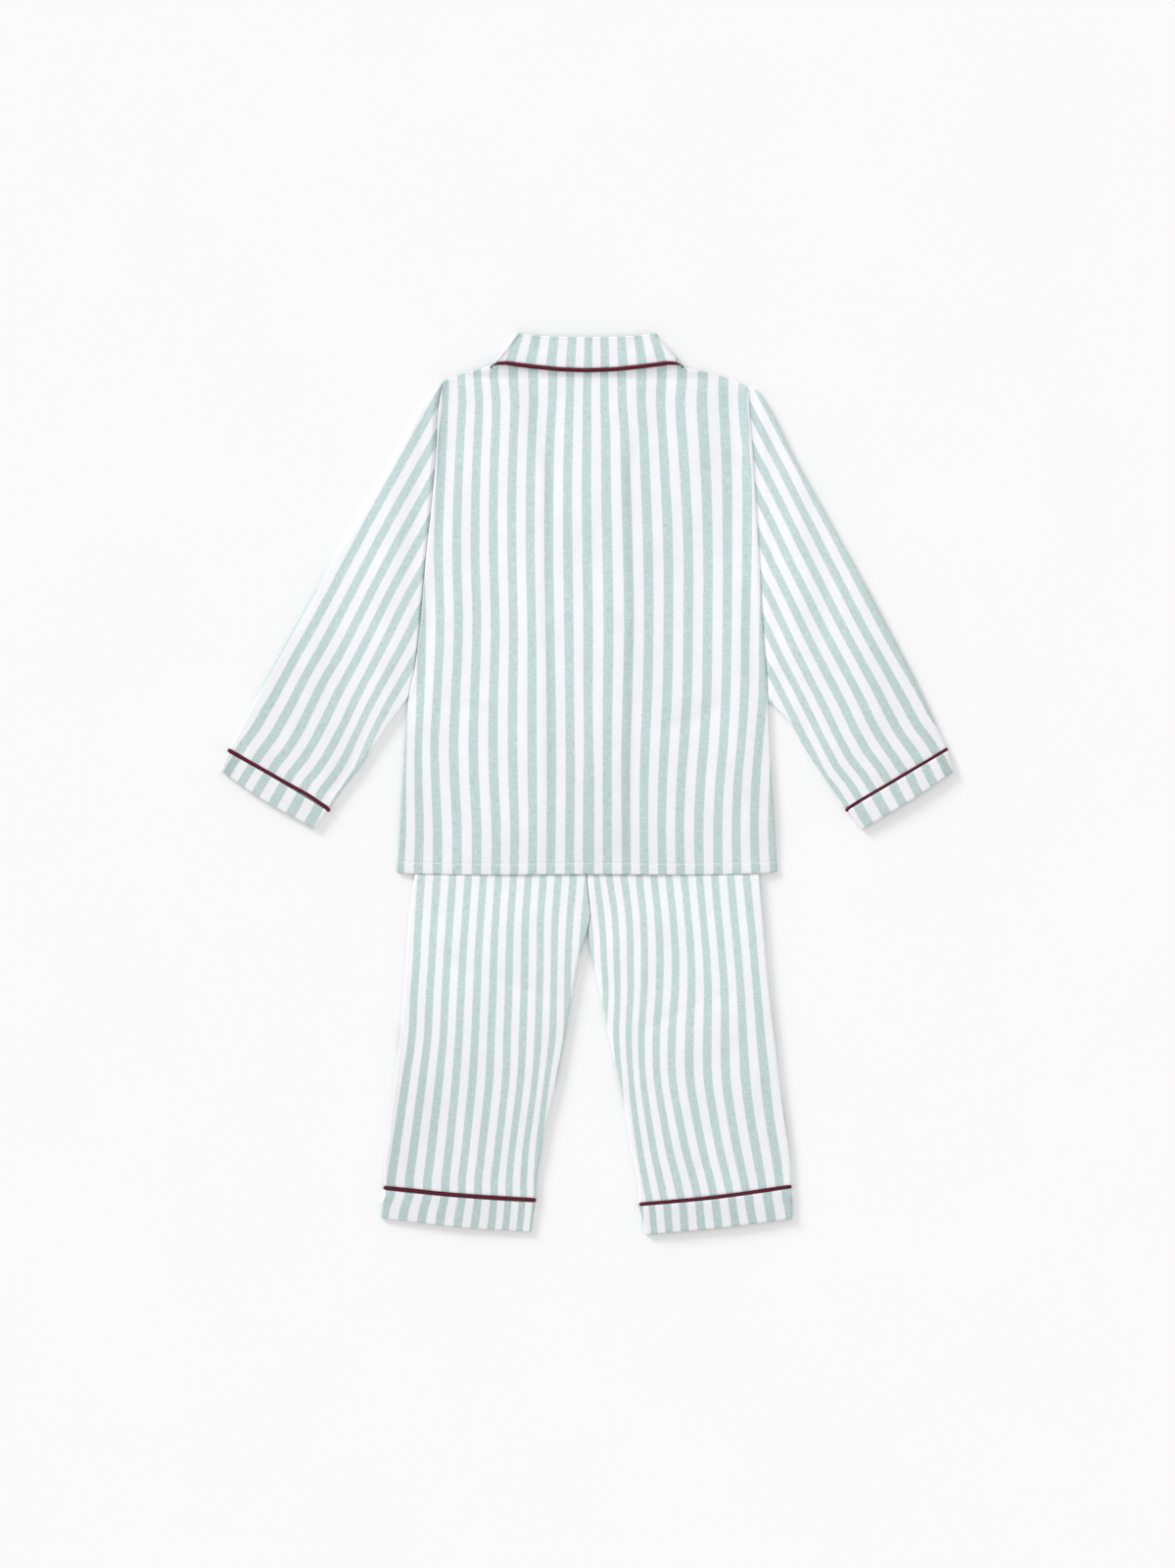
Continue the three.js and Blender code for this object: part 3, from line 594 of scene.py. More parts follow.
# A flattened tube. lines says where a share of the way across and a fall down it lie. place turns x and
# y into the distance down the piece and the distance across it, as its stripes' table counts them.
def addFlatTube(name, lines, height, stripes, place, mintShare, deep, radius):
    width = np.hypot(*(lines["at"](1.0, lines["down"]) - lines["at"](0.0, lines["down"])).T).max()
    top = gridShares(width, cloth["step"], 2.4)
    under = gridShares(width, cloth["hiddenStep"], 2.4)[1:-1]
    share = np.concatenate([top[::-1], under])
    isTop = np.concatenate([np.ones(len(top)), np.zeros(len(under))])
    share, fall = np.meshgrid(share, lines["down"])
    isTop = np.broadcast_to(isTop, share.shape) > 0.5
    plan = lines["at"](share, fall)
    x, y = plan[..., 0], plan[..., 1]
    across = lines["at"](np.ones_like(fall), fall) - lines["at"](np.zeros_like(fall), fall)
    edge = np.minimum(share, 1 - share) * np.hypot(across[..., 0], across[..., 1])
    full = radius * 2 + valueAt(height, x, y, share, fall, edge)
    # The turned edge is round: its lower half curves under to the floor
    turn = quarterRound(edge, 1.5)
    middle = radius + 0.15 * (full - radius * 2)
    z = np.where(isTop, middle + (full - middle) * turn, middle * (1 - turn))
    grid = np.stack([x, y, z], axis=-1)
    # The stripes run on round the fold to the under half
    run, off = place(x, y)
    stripe = stripeAt(off, run, stripes)
    atFold = stripe[:, len(top) - 1:len(top)]
    stripe = np.where(isTop, stripe, 2 * atFold - stripe)
    closing = 2 * atFold - stripe[:, :1]
    stripe = np.concatenate([stripe, closing], axis=1)
    run = np.concatenate([run, run[:, :1]], axis=1)
    lay = np.stack([stripe, run / cloth["stripePitch"]], axis=-1)
    return addShell(name, grid, lay, mintShare, valueAt(deep, x, y, share, fall), isTube=True)


# For the pieces whose stripes run straight down the body
def downTheBody(x, y):
    return y, x


cordRing = np.linspace(0, 2 * np.pi, 12, endpoint=False)    # round a piping's section
pipings = {
    "high": 2.1,
    "under": 0.1,     # from the floor up to the loop's under half
    "over": 4.5,      # and to the top of its upper half at the folds
    "middleRise": 0.5,
    "inset": 0.012,   # share of its length that each fold takes
    "step": 1.4,
    "foldSteps": 7,
}


# A loop of piping round a flattened tube, as a rounded roll with its seam pressed down
def addPipingLoop(name, node, points, width):
    length = math.hypot(points[-1][0] - points[0][0], points[-1][1] - points[0][1])
    high, inset, foldSteps = pipings["high"], pipings["inset"], pipings["foldSteps"]
    count = round(length / pipings["step"])
    flat = np.linspace(inset, 1 - inset, count)
    shares = np.concatenate([flat[::-1], np.full(foldSteps, inset), flat, np.full(foldSteps, 1 - inset)])
    angles = np.concatenate([np.full(count, 90.0), np.linspace(90, 270, foldSteps + 2)[1:-1],
                             np.full(count, 270.0), np.linspace(270, 450, foldSteps + 2)[1:-1]])
    plan = alongLine(shares, points)
    across = np.array(points[0], float) - np.array(points[-1], float)
    across /= np.hypot(*across)
    angle = np.radians(angles)
    rise = pipings["middleRise"] * ease(np.minimum(shares, 1 - shares) * length, 0, 28)
    low, top = pipings["under"] + high / 2, pipings["over"] + rise - high / 2
    middle, reach = (low + top) / 2, (top - low) / 2
    # out points away from the tube's middle: up on its face, sideways at its folds
    sideways = -np.cos(angle)
    out = np.stack([across[0] * sideways, across[1] * sideways, np.sin(angle)], axis=-1)
    centre = np.stack([plan[:, 0], plan[:, 1], middle], axis=-1) + out * reach[:, None]
    down = np.array([across[1], -across[0], 0.0])
    rings = (centre[:, None] + down * (width / 2 * np.cos(cordRing))[None, :, None]
             + out[:, None] * (high / 2 * np.sin(cordRing))[None, :, None])
    layTrim(addCordMesh(name, rings, biasTape, True, pipings["step"]), node)


# A hem band or cuff runs from its piping's seam to its free end
def bandLines(piping, end):
    def at(share, fall):
        start, finish = movedLine(share, piping, trousers["pipingGap"]), alongLine(share, end)
        return between(start, finish, np.asarray(fall)[..., None])
    return {"down": gridShares(26, 1.6, 2), "at": at}


# A band is sewn double, so it lies fuller than one layer, with its seam and its folded end pressed down
def bandHeight(band, seed):
    def heightAt(x, y, share, fall, edge):
        down = fall * band["long"]
        rim = rollOff(band["long"] - down, 1.2, band["endDrop"]) + rollOff(down, 2.0, 0.5)
        slack = slackHeight(x, y, seed, band["slack"]) * ease(edge, 0, 15)
        return band["full"] + 0.5 * ease(edge, 0, band["turn"]) - 0.3 * fall + slack - rim
    return heightAt


# The hem bands' tone is painted shade, the same over all of each band
hemBand = {"long": 26, "full": 0.5, "turn": 30, "slack": 0.16, "endDrop": 0.7, "tone": 1.5, "radius": 1.7}


def addLeg(side, leg):
    title = side.capitalize()
    front = addLegPanel(f"trouserFront{title}", leg, False)
    layCloth(front, f"trousers_front_{side}")
    back = addLegPanel(f"trouserBack{title}", leg, True)
    layCloth(back, f"trousers_back_{side}")
    band = addFlatTube(f"hemBand{title}", bandLines(leg["piping"], leg["end"]),
                       bandHeight(hemBand, 21 + leg["side"]), leg["bandStripes"], downTheBody,
                       cloth["trimMintShare"], hemBand["tone"], hemBand["radius"])
    layCloth(band, f"hem_band_{side}")
    addPipingLoop(f"hemPiping{title}", f"hem_piping_{side}", leg["piping"], leg["pipingWidth"])


# One loop round the top, hidden under the jacket
def addWaistband():
    def at(share, fall):
        y = trousers["waistTop"] - trousers["waistband"] * np.asarray(fall)
        left, right = throughPoints(y, legs["left"]["outer"]), throughPoints(y, legs["right"]["outer"])
        return np.stack(np.broadcast_arrays(between(left, right, share), y), axis=-1)

    stripes = {"stripes": (-8, 8), "rows": [(105, -136, 136), (50, -136, 136)]}
    lines = {"down": gridShares(trousers["waistband"], 3, 2), "at": at}
    # The hidden waistband takes a painted shade of 1 all over
    band = addFlatTube("trouserWaistband", lines, 0, stripes, downTheBody, 0.5, 1, 1.15)
    layCloth(band, "waistband")


for side, leg in legs.items():
    addLeg(side, leg)
addWaistband()
print("trousers laid")


jacket = {
    "width": 335,
    "length": 465,
    "backLength": 470,
    # Height and place across
    "leftEdge": [(370.4, -132.8), (355, -136.4), (306, -139.6), (252, -144.5), (207, -149.4), (144, -155.2),
                 (112, -158.8), (80, -165.2), (52, -167.8), (18, -169.9), (-54, -174.2), (-82.8, -176.4)],
    "rightEdge": [(370.4, 147), (333, 149.2), (306, 151.4), (216, 157), (144, 160.9), (110, 163.4),
                  (80, 165.3), (18, 168), (-31, 171), (-82.8, 174.5)],
    # Place across and height
    "top": [(-132.8, 370.4), (-115, 377.2), (-97, 382.4), (-89, 385), (-75, 390.5), (-50, 390.5), (0, 388.5),
            (50, 390.5), (73, 390.5), (85, 385), (92, 382.2), (111, 378), (128, 373.1), (147, 364.4)],
    "hem": [(-176.4, -80.5), (-168, -81.9), (-150, -82.5), (0, -82.8), (150, -82.2), (166, -81.5),
            (174.5, -80.5)],
    "hemFold": 9.6,          # from the hem's edge up to its row of stitches
    "stitch": 2.4,
    "stitchGap": 0.9,
    "threadWide": 0.38,      # half widths of the thread
    "threadHigh": 0.3,
    "threadLift": 0.16,      # of its middle above the cloth
    "seamRidge": 1.1,        # how far the armhole seams stand up,
    "armholeDrop": (2.3, 1.2),   # how far the edge falls beside them, left and right,
    "sideRise": 1.4,         # and how much higher the sides lie below them
    "facingGroove": 0.3,
    "hemSink": 1.4,          # how far the back comes down to its hem, and the fronts to theirs
    "frontHemSink": 0.8,
    "doubleHem": 0.3,
    "stitchGroove": 0.4,
    "pucker": 0.07,
    "hiddenTone": 0.5,       # the fronts lie in the shade
    "stripes": {"stripes": (-10, -8, -5, -2, 0, 2, 5, 7, 10), "rows": [
        (374, -160, -131.5, -87, -32, -0.5, 30.5, 86.5, 124.7, 180),
        (351, -162, -131.2, -84.5, -32.7, -1, 31.3, 84.5, 125, 176),
        (324, -167, -133.2, -85, -34.5, -1, 33.5, 85.8, 126.5, 179.5),
        (288, -169, -135, -86.5, -35.6, -1.5, 34.5, 88.5, 127.8, 182),
        (216, -171, -137.5, -87, -36, -1, 36.6, 92.2, 128.3, 182),
        (144, -170, -136, -85.2, -35, 0, 37.6, 92, 128, 178),
        (72, -169, -139.5, -87, -33.6, 0, 36, 90.5, 126.5, 177),
        (36, -170, -141.5, -87.2, -33.4, 0.6, 34.8, 88, 124.5, 173),
        (0, -171, -140.5, -86.2, -33.4, 0.8, 34.6, 85.3, 121.2, 170.5),
        (-36, -171, -138.7, -84.2, -33.8, 0.5, 35, 84, 119.5, 169.5),
        (-83, -173.5, -138.5, -84.5, -34.5, 0.5, 35.4, 85, 119.5, 171.5)]},
    # Height and distance from the centre of the edges of the front facings, which print through the back
    "facing": [(372, 62), (330, 48), (296, 39), (235, 38), (195, 38.5), (165, 41), (140, 40), (115, 37.5),
               (60, 38), (0, 38), (-84, 38)],
    "creases": [
        # Drags from the sides towards the middle
        (-124, 73, -62, 49, 6, -0.6, 16, -3), (64, 50, 124, 72, 6, -0.5, 16, 3),
        (-118, 88, -74, 68, 10, 0.35, 16, 0), (70, 68, 116, 86, 10, 0.3, 16, 0),
        (-154, -8, -112, -52, 11, -0.45, 22, 0), (110, -50, 156, -6, 11, -0.4, 22, 0),
        (-60, 232, -30, 128, 16, 0.3, 34, 0), (44, 150, 66, 236, 15, 0.3, 34, 0),
        # Under the collar's edge the back dips into the neck seam
        (-110, 375, -30, 375, 3.2, -0.75, 14, 2), (30, 375, 112, 373, 3.2, -0.75, 14, 2),
        (-62, 366, -30, 330, 9, -0.3, 16, 0), (58, 366, 30, 326, 9, -0.3, 16, 0),
    ],
}


# The steps of the solids, drawn out as cloth softens them: the fronts rise over what they lie on
def frontHeight(share, x, y):
    side, fromCentre = np.minimum(share, 1 - share), np.abs(share - 0.5)
    overTrousers = ease(side, -0.02, 0.08) * ease(y, 300, 100)
    overButtons = ease(fromCentre, 0.36, 0.02) * ease(y, 350, 225) * ease(y, -84, -48)
    overCollar = ease(np.abs(x), 140, 85) * ease(y, 190, 270)
    return (layers["overTrousers"] * overTrousers + layers["overButtons"] * overButtons
            + layers["overCollar"] * overCollar)


# How much higher the right front lies where it laps over the left one
def lapHeight(share, y):
    return layers["next"] * ease(np.abs(share - 0.5), 0.36, 0.02) * ease(y, 385, 300)


def jacketEdges(y):
    return throughPoints(y, jacket["leftEdge"]), throughPoints(y, jacket["rightEdge"])


def addJacketPiece(name, fromShare, toShare, neckDrop, surfaceAt, step, isBack):
    across = fromShare + (toShare - fromShare) * gridShares(jacket["width"] * (toShare - fromShare), step)
    down = gridShares(jacket["length"], step)
    if isBack:    # rows close together where the stitches pull it in
        rows = 1 - (jacket["hemFold"] + np.arange(-2.8, 3, 0.7)) / jacket["backLength"]
        down = np.unique(np.concatenate([down, rows]))
    share, fall = np.meshgrid(across, down)
    topX, hemX = [between(jacket[line][0][0], jacket[line][-1][0], share) for line in ("top", "hem")]
    topY, hemY = throughPoints(topX, jacket["top"]), throughPoints(hemX, jacket["hem"])
    y = between(topY, hemY, fall) - valueAt(neckDrop, topX) * np.clip(1 - fall / 0.25, 0, 1)
    if not isBack:
        y = y + 1.6 * np.clip((fall - 0.9) / 0.1, 0, 1)    # the back's hem closes over the fronts'
    left, right = jacketEdges(y)
    x = between(left, right, share)
    grid = np.stack([x, y, surfaceAt(share, x, y)], axis=-1)
    lay = np.stack([stripeAt(x, y, jacket["stripes"]), y / cloth["stripePitch"]], axis=-1)
    # Towards the hem the stripe over the lapped fronts is pulled wider, and the armhole seams bite into two
    mintShare = cloth["mintShare"] + 0.13 * np.exp(-((x - 0.5) / 9) ** 4) * ease(y, 45, 0)
    mintShare = mintShare - 0.14 * near(y - 347, 15) * ease(x, -125, -128)
    mintShare = mintShare - 0.11 * near(y - 308, 14) * ease(x, 134, 137)
    deep = backPaintedShade(x, y, x - left, right - x, y - hemY) if isBack else jacket["hiddenTone"]
    return addShell(name, grid, lay, mintShare, deep, facing=-1)


# Painted shade on the back: darker low down and along the hem's fold, lighter high up, and darker along the
# edges of the facings beneath, in the seams and by the sides
def backPaintedShade(x, y, fromLeft, fromRight, fromHem):
    deep = 0.3 * ease(y, 70, -30) - 0.2 * ease(y, 120, 190)
    deep = deep + 0.45 * ease(fromHem, jacket["hemFold"] + 0.6, jacket["hemFold"] - 0.6)
    offFacing = np.abs(x) - throughPoints(y, jacket["facing"])
    facingShade = 1.1 - 0.6 * ease(y, 290, 320) - 0.75 * ease(y, 30, -60)
    deep = deep + facingShade * near(offFacing, 4 + 8 * ease(y, 296, 335))
    deep = deep + 0.35 * ease(np.abs(x), 42, 34) * ease(y, 70, 20) * ease(y, -80, -30)
    # Painted shade along the neck and shoulder seams, with their turnings underneath
    seamPaintedShade = (0.5 + ease(np.abs(x), 55, 85)) * ease(np.abs(x), 132, 100)
    deep = deep + seamPaintedShade * near(y - 377, 3.6)
    # Painted shade by the side seams, against the light on the left
    deep = deep + (0.8 * ease(fromLeft, 30, 6) + 0.35 * ease(fromRight, 30, 6)) * ease(y, 80, 20)
    # Painted shadow along the left edge above the waist, strongest by the armhole
    return deep + (0.9 + 1.6 * ease(y, 270, 320)) * ease(fromLeft, 5.5, 2.5) * ease(y, 60, 100)


# How far the fronts' neck opening drops below the back's
def frontNeck(x):
    fromCentre = np.clip(np.abs(x + 1) / 80, 0, 1)
    return 105 * (1 - fromCentre) ** 0.8


# The upper face of the left front
def frontSurface(share, x, y):
    sink = jacket["frontHemSink"] * ease(y - throughPoints(x, jacket["hem"]), 50, 6)
    return frontHeight(share, x, y) + layers["wall"] - sink


def lappedSurface(share, x, y):
    return frontSurface(share, x, y) + lapHeight(share, y)


# The back's outer face over the fronts, with all that is folded, sewn and creased in it
def backSurface(share, x, y):
    left, right = jacketEdges(y)
    side = np.minimum(share, 1 - share) * (right - left)
    fromHem, fromTop = y - throughPoints(x, jacket["hem"]), throughPoints(x, jacket["top"]) - y
    z = frontHeight(share, x, y) + lapHeight(share, y) + layers["next"] + layers["wall"]
    inside = ease(side, 2, 22) * ease(fromHem, 4, 20) * ease(fromTop, 6, 30)
    z = z + slackHeight(x, y, 5, 0.3) * inside + creaseHeight(x, y, jacket["creases"]) * ease(side, 0, 8)
    # Armhole seams stand up with the turnings folded under them; lower down the side is a soft fold
    atArmhole = ease(y, 70, 92)
    armholeDrop = np.where(share < 0.5, *jacket["armholeDrop"])
    lowRise = jacket["sideRise"] * ease(y, 160, -30)
    z = z + atArmhole * jacket["seamRidge"] * near(side - 3, 4.5) + lowRise
    sideDrop = atArmhole * armholeDrop + (1 - atArmhole) * (1.4 + lowRise)
    z = z - rollOff(side, 1.2, sideDrop) - rollOff(fromTop, 0.8, 0.7)
    offFacing = np.abs(x) - throughPoints(y, jacket["facing"])
    z = z - jacket["facingGroove"] * near(offFacing, 5) * ease(y, 320, 290)
    # The hem is folded double, and its stitches pull it in
    fold = jacket["hemFold"]
    z = z + jacket["doubleHem"] * ease(fromHem, fold + 1.5, fold - 1)
    z = z - jacket["hemSink"] * ease(fromHem, 50, 3)
    z = z - jacket["stitchGroove"] * near(fromHem - fold, 1.3) - rollOff(fromHem, 1.2, 0.6)
    pucker = np.sin(x / 3.1 + 2 * np.sin(x / 17)) * near(fromHem - fold + 3, 5)
    return z + jacket["pucker"] * pucker


# One row of lockstitch along the back's hem, each stitch a short rounded bar of thread
def addHemStitches():
    run = jacket["stitch"] + jacket["stitchGap"]
    left, right = jacket["hem"][0][0] + 4, jacket["hem"][-1][0] - 4
    sides = 6
    angles = np.linspace(0, 2 * np.pi, sides, endpoint=False)
    spindle = [(-0.5, 0.05), (-0.36, 0.85), (0, 1), (0.36, 0.85), (0.5, 0.05)]
    points, faces, uvs = [], [], []
    for x in np.arange(left, right, run):
        y = float(throughPoints(x, jacket["hem"])) + jacket["hemFold"]
        first, last = [float(edge) for edge in jacketEdges(y)]
        z = float(backSurface((x - first) / (last - first), np.array(x), np.array(y))) + jacket["threadLift"]
        tilt = 0.05 * math.sin(x * 1.7)
        start = len(points)
        for along, wide in spindle:
            halfWide, halfHigh = jacket["threadWide"] * wide, jacket["threadHigh"] * wide
            for angle in angles:
                points.append(((x + along * jacket["stitch"]) * mm,
                               (y + tilt * along * 3 + halfWide * math.cos(angle)) * mm,
                               (z - 0.4 * (2 * along) ** 4 + halfHigh * math.sin(angle)) * mm))
        for r in range(len(spindle) - 1):
            for s in range(sides):
                here, beyond, after = start + r * sides, start + (r + 1) * sides, (s + 1) % sides
                faces.append([here + s, beyond + s, beyond + after, here + after])
                u, v = (s / sides, (s + 1) / sides), (r / 4, (r + 1) / 4)
                uvs += [(u[0], v[0]), (u[0], v[1]), (u[1], v[1]), (u[1], v[0])]
        for tip in (start, len(points) - sides):
            faces.append(list(range(tip, tip + sides)))
            uvs += [(0, 0)] * sides
    mesh = buildMesh("jacketHemStitches", points, faces, "tapeLay", uvs)
    piece = finishPiece("jacketHemStitches", mesh, sewingThread)
    layTrim(piece, None)
    return piece


jacketBack = addJacketPiece("jacketBack", 0, 1, 0, backSurface, cloth["step"], True)
frontLeft = addJacketPiece("jacketFrontLeft", 0, 0.535, frontNeck, frontSurface, cloth["hiddenStep"], False)
frontRight = addJacketPiece("jacketFrontRight", 0.465, 1, frontNeck, lappedSurface, cloth["hiddenStep"],
                            False)
hemStitches = addHemStitches()
layCloth(jacketBack, "jacket_back")
layCloth(frontLeft, "jacket_front_left")
layCloth(frontRight, "jacket_front_right")
print("jacket body laid")


# The outlines are (place across, height), from the shoulder down
sleeves = {
    "left": {
        "outer": [(-133.1, 370.4), (-148.1, 353.2), (-167.8, 319.1), (-215.6, 237.2), (-264.2, 155.2),
                  (-300.2, 88.9), (-329.5, 32.7)],
        "inner": [(-165.5, 80.5), (-176.8, 65.2), (-185, 53.6), (-191.7, 43.2), (-199.6, 32), (-209, 16.4),
                  (-217.6, 5), (-228, -8.6), (-237.5, -21.3)],
        "piping": [(-330.5, 31.1), (-284.5, 5), (-238.5, -22.9)],
        "pipingTurn": [(-243.4, -19.8), (-238.2, -24.4)],    # at the fold by the seam the piping bends over
        "pipingWidth": 3.2,
        "end": [(-337.9, 12.8), (-301.9, -12.2), (-250.7, -41)],
        "side": -1,
        "edge": "leftEdge",
        "seamPaintedShade": 1.8,     # how much painted shadow darkens it along the armhole seam, and over what share of its length
        "seamReach": 0.03,
        "seamDip": 3.2,      # how far it dips under the body's edge there, and over what share of its length
        "dipReach": 0.022,
        "shoulder": (-132.8, 370.4),
        "cuffPoint": (-328.1, 35.6),
        # Distance from the shoulder along the sleeve, then how far in the numbered mint stripes lie
        "stripes": {"stripes": (0, 2, 4, 6), "rows": [
            (0, 3, 36, 69, 103), (80, 4.5, 37, 70, 103), (153, 6, 38.5, 71, 104), (189, 7.5, 40, 71.5, 104),
            (225, 9, 42, 74, 106), (261, 10, 44, 76, 106), (297, 10.5, 44, 78, 106.5),
            (324, 11.5, 46, 80.5, 108.5), (346, 11.5, 47.5, 81, 111.5), (364, 11.5, 47, 80.5, 111),
            (382, 9.5, 44.5, 77.5, 110)]},
        "cuffStripes": {"stripes": (0, 2, 4, 5), "rows": [
            (385, 10.5, 43, 78, 97), (405, 10, 42, 79, 98.5), (425, 9.5, 42, 79, 98.5)]},
        "creases": [
            (-246, 168, -248, 46, 13, 0.5, 26, 5), (-268, 120, -292, 48, 12, -0.5, 22, 0),
            (-196, 60, -236, -8, 5, -0.5, 14, -3), (-244, -2, -232, -12, 3, -0.5, 5, 0),
            (-178, 262, -186, 120, 12, 0.35, 30, 0), (-152, 330, -160, 190, 7, -0.35, 26, 0),
            (-214, 196, -202, 92, 9, -0.3, 24, 0), (-168, 96, -205, 118, 7, -0.45, 14, 0),
        ],
    },
    "right": {
        "outer": [(147.5, 364.4), (156.2, 361.2), (166.2, 346), (186.8, 304.7), (210.6, 261.4),
                  (258.8, 174.2), (304.5, 86), (328.9, 33.5)],
        "inner": [(165.7, 78.3), (170.5, 73.8), (178, 66.5), (186.8, 56.6), (197.6, 37.4), (222.8, -0.5),
                  (237.2, -21.3)],
        "piping": [(329.9, 31.9), (284, 4.5), (238.1, -22.9)],
        "pipingTurn": [(243, -19.8), (237.8, -24.4)],
        "pipingWidth": 3.2,
        "end": [(336.2, 12.6), (300, -12), (251.9, -41)],
        "side": 1,
        "edge": "rightEdge",
        "seamPaintedShade": 0.9,
        "seamReach": 0.06,
        "seamDip": 2.5,
        "dipReach": 0.045,
        "shoulder": (147.2, 364.1),
        "cuffPoint": (329.9, 32),
        "stripes": {"stripes": (0, 2, 4, 6), "rows": [
            (0, 7, 37, 68, 100), (54, 8.5, 38.5, 69, 100), (81, 9, 39.5, 70, 100), (117, 10.5, 41, 72, 103),
            (153, 11.5, 43.5, 74, 105), (189, 12.5, 45, 76, 106), (225, 13.5, 46.5, 78.5, 108),
            (261, 14, 47, 80, 108.5), (297, 13.5, 47.5, 81, 110), (324, 13.5, 49, 82.5, 110.5),
            (346, 13.5, 48.5, 82, 111), (364, 11, 46.5, 79, 108), (382, 10, 45, 78, 107)]},
        "cuffStripes": {"stripes": (0, 2, 4, 5), "rows": [
            (374, 8.5, 40.5, 77, 97), (396, 9.5, 42.5, 77.5, 96.5), (416, 9.5, 42, 77, 96)]},
        "creases": [
            (246, 168, 250, 46, 13, 0.5, 26, -5), (270, 120, 294, 48, 12, -0.5, 22, 0),
            (196, 60, 236, -8, 5, -0.5, 14, 3), (190, 262, 196, 124, 12, 0.35, 30, 0),
            (164, 330, 170, 196, 7, -0.35, 26, 0), (222, 200, 208, 96, 9, -0.3, 24, 0),
            (168, 94, 206, 120, 7, -0.45, 14, 0),
        ],
    },
}


# The sleeves' negative tone is painted light over all of them
sleeveLook = {"length": 370, "full": 0.2, "swell": 1.7, "slack": 0.3, "mintShare": 0.48, "paintedLight": -0.3,
              "radius": 1.75}
cuffBand = {"long": 20, "full": 0.7, "turn": 25, "slack": 0.12, "endDrop": 0.6, "radius": 1.7}


# Painted shade over the whole cuff, darker along the outer fold
def cuffPaintedShade(x, y, share, fall):
    return 0.9 + 1.3 * ease(share, 0.16, 0.08)


def addSleeve(side, sleeve):
    title = side.capitalize()
    start, finish = np.array(sleeve["shoulder"]), np.array(sleeve["cuffPoint"])
    axis = (finish - start) / np.hypot(*(finish - start))
    inwards = np.array([-axis[1], axis[0]]) * (1 if sleeve["side"] < 0 else -1)

    # Distance from the shoulder along the sleeve, and in from its outer edge
    def turned(x, y):
        return ((x - start[0]) * axis[0] + (y - start[1]) * axis[1],
                (x - start[0]) * inwards[0] + (y - start[1]) * inwards[1])

    shoulderY, armpitY = sleeve["outer"][0][1], sleeve["inner"][0][1]

    # At its top the sleeve follows the armhole's seam instead of a straight line
    def at(share, fall):
        share, fall = np.broadcast_arrays(np.asarray(share, float), np.asarray(fall, float))
        outer, inner = alongLine(fall, sleeve["outer"]), alongLine(fall, sleeve["inner"])
        point = between(outer, inner, share[..., None])
        y = between(shoulderY, armpitY, share)
        seamX = throughPoints(y, jacket[sleeve["edge"]]) - sleeve["side"] * 0.9
        straightX = between(sleeve["outer"][0][0], sleeve["inner"][0][0], share)
        fade = (1 - fall) ** 2
        return point + np.stack([(seamX - straightX) * fade, 0 * fade], axis=-1)

    def heightAt(x, y, share, fall, edge):
        swell = sleeveLook["swell"] * arch(share) * ease(fall, 0.02, 0.3) * ease(fall, 1.02, 0.9)
        dip = sleeve["seamDip"] * ease(fall, sleeve["dipReach"], 0)
        slack = slackHeight(x, y, 31 + sleeve["side"], sleeveLook["slack"]) * ease(edge, 2, 22)
        gathered = 0.5 * ease(fall, 0.9, 0.97) * ease(edge, 0, 20)
        return (sleeveLook["full"] + swell - dip + slack * ease(fall, 0, 0.1)
                + creaseHeight(x, y, sleeve["creases"]) * ease(edge, 0, 8) + gathered
                - rollOff((1 - fall) * sleeveLook["length"], 2.5, 0.9))

    # Painted shade: darker towards the cuff, most along the outer edge, at the armpit and where the sleeve
    # dips under the body's seam, and a little lighter all over as painted light
    def paintedShadeAt(x, y, share, fall):
        armpit = 0.8 * np.exp(-(((np.abs(x) - 181) / 11) ** 2 + ((y - 98) / 11) ** 2))
        deep = ease(fall, 0.4, 0.85) * (0.8 + 0.3 * ease(share, 0.7, 0.1)) + armpit + sleeveLook["paintedLight"]
        return deep + sleeve["seamPaintedShade"] * ease(fall, sleeve["seamReach"], 0.005)

    lines = {"down": gridShares(sleeveLook["length"], cloth["step"]), "at": at}
    piece = addFlatTube(f"sleeve{title}", lines, heightAt, sleeve["stripes"], turned, sleeveLook["mintShare"],
                        paintedShadeAt, sleeveLook["radius"])
    layCloth(piece, f"sleeve_{side}")
    cuff = addFlatTube(f"cuff{title}", bandLines(sleeve["piping"], sleeve["end"]),
                       bandHeight(cuffBand, 41 + sleeve["side"]), sleeve["cuffStripes"], turned,
                       cloth["trimMintShare"], cuffPaintedShade, cuffBand["radius"])
    layCloth(cuff, f"cuff_{side}")
    points = sleeve["piping"][:2] + sleeve["pipingTurn"]
    addPipingLoop(f"cuffPiping{title}", f"cuff_piping_{side}", points, sleeve["pipingWidth"])


for side, sleeve in sleeves.items():
    addSleeve(side, sleeve)
print("sleeves and cuffs laid")


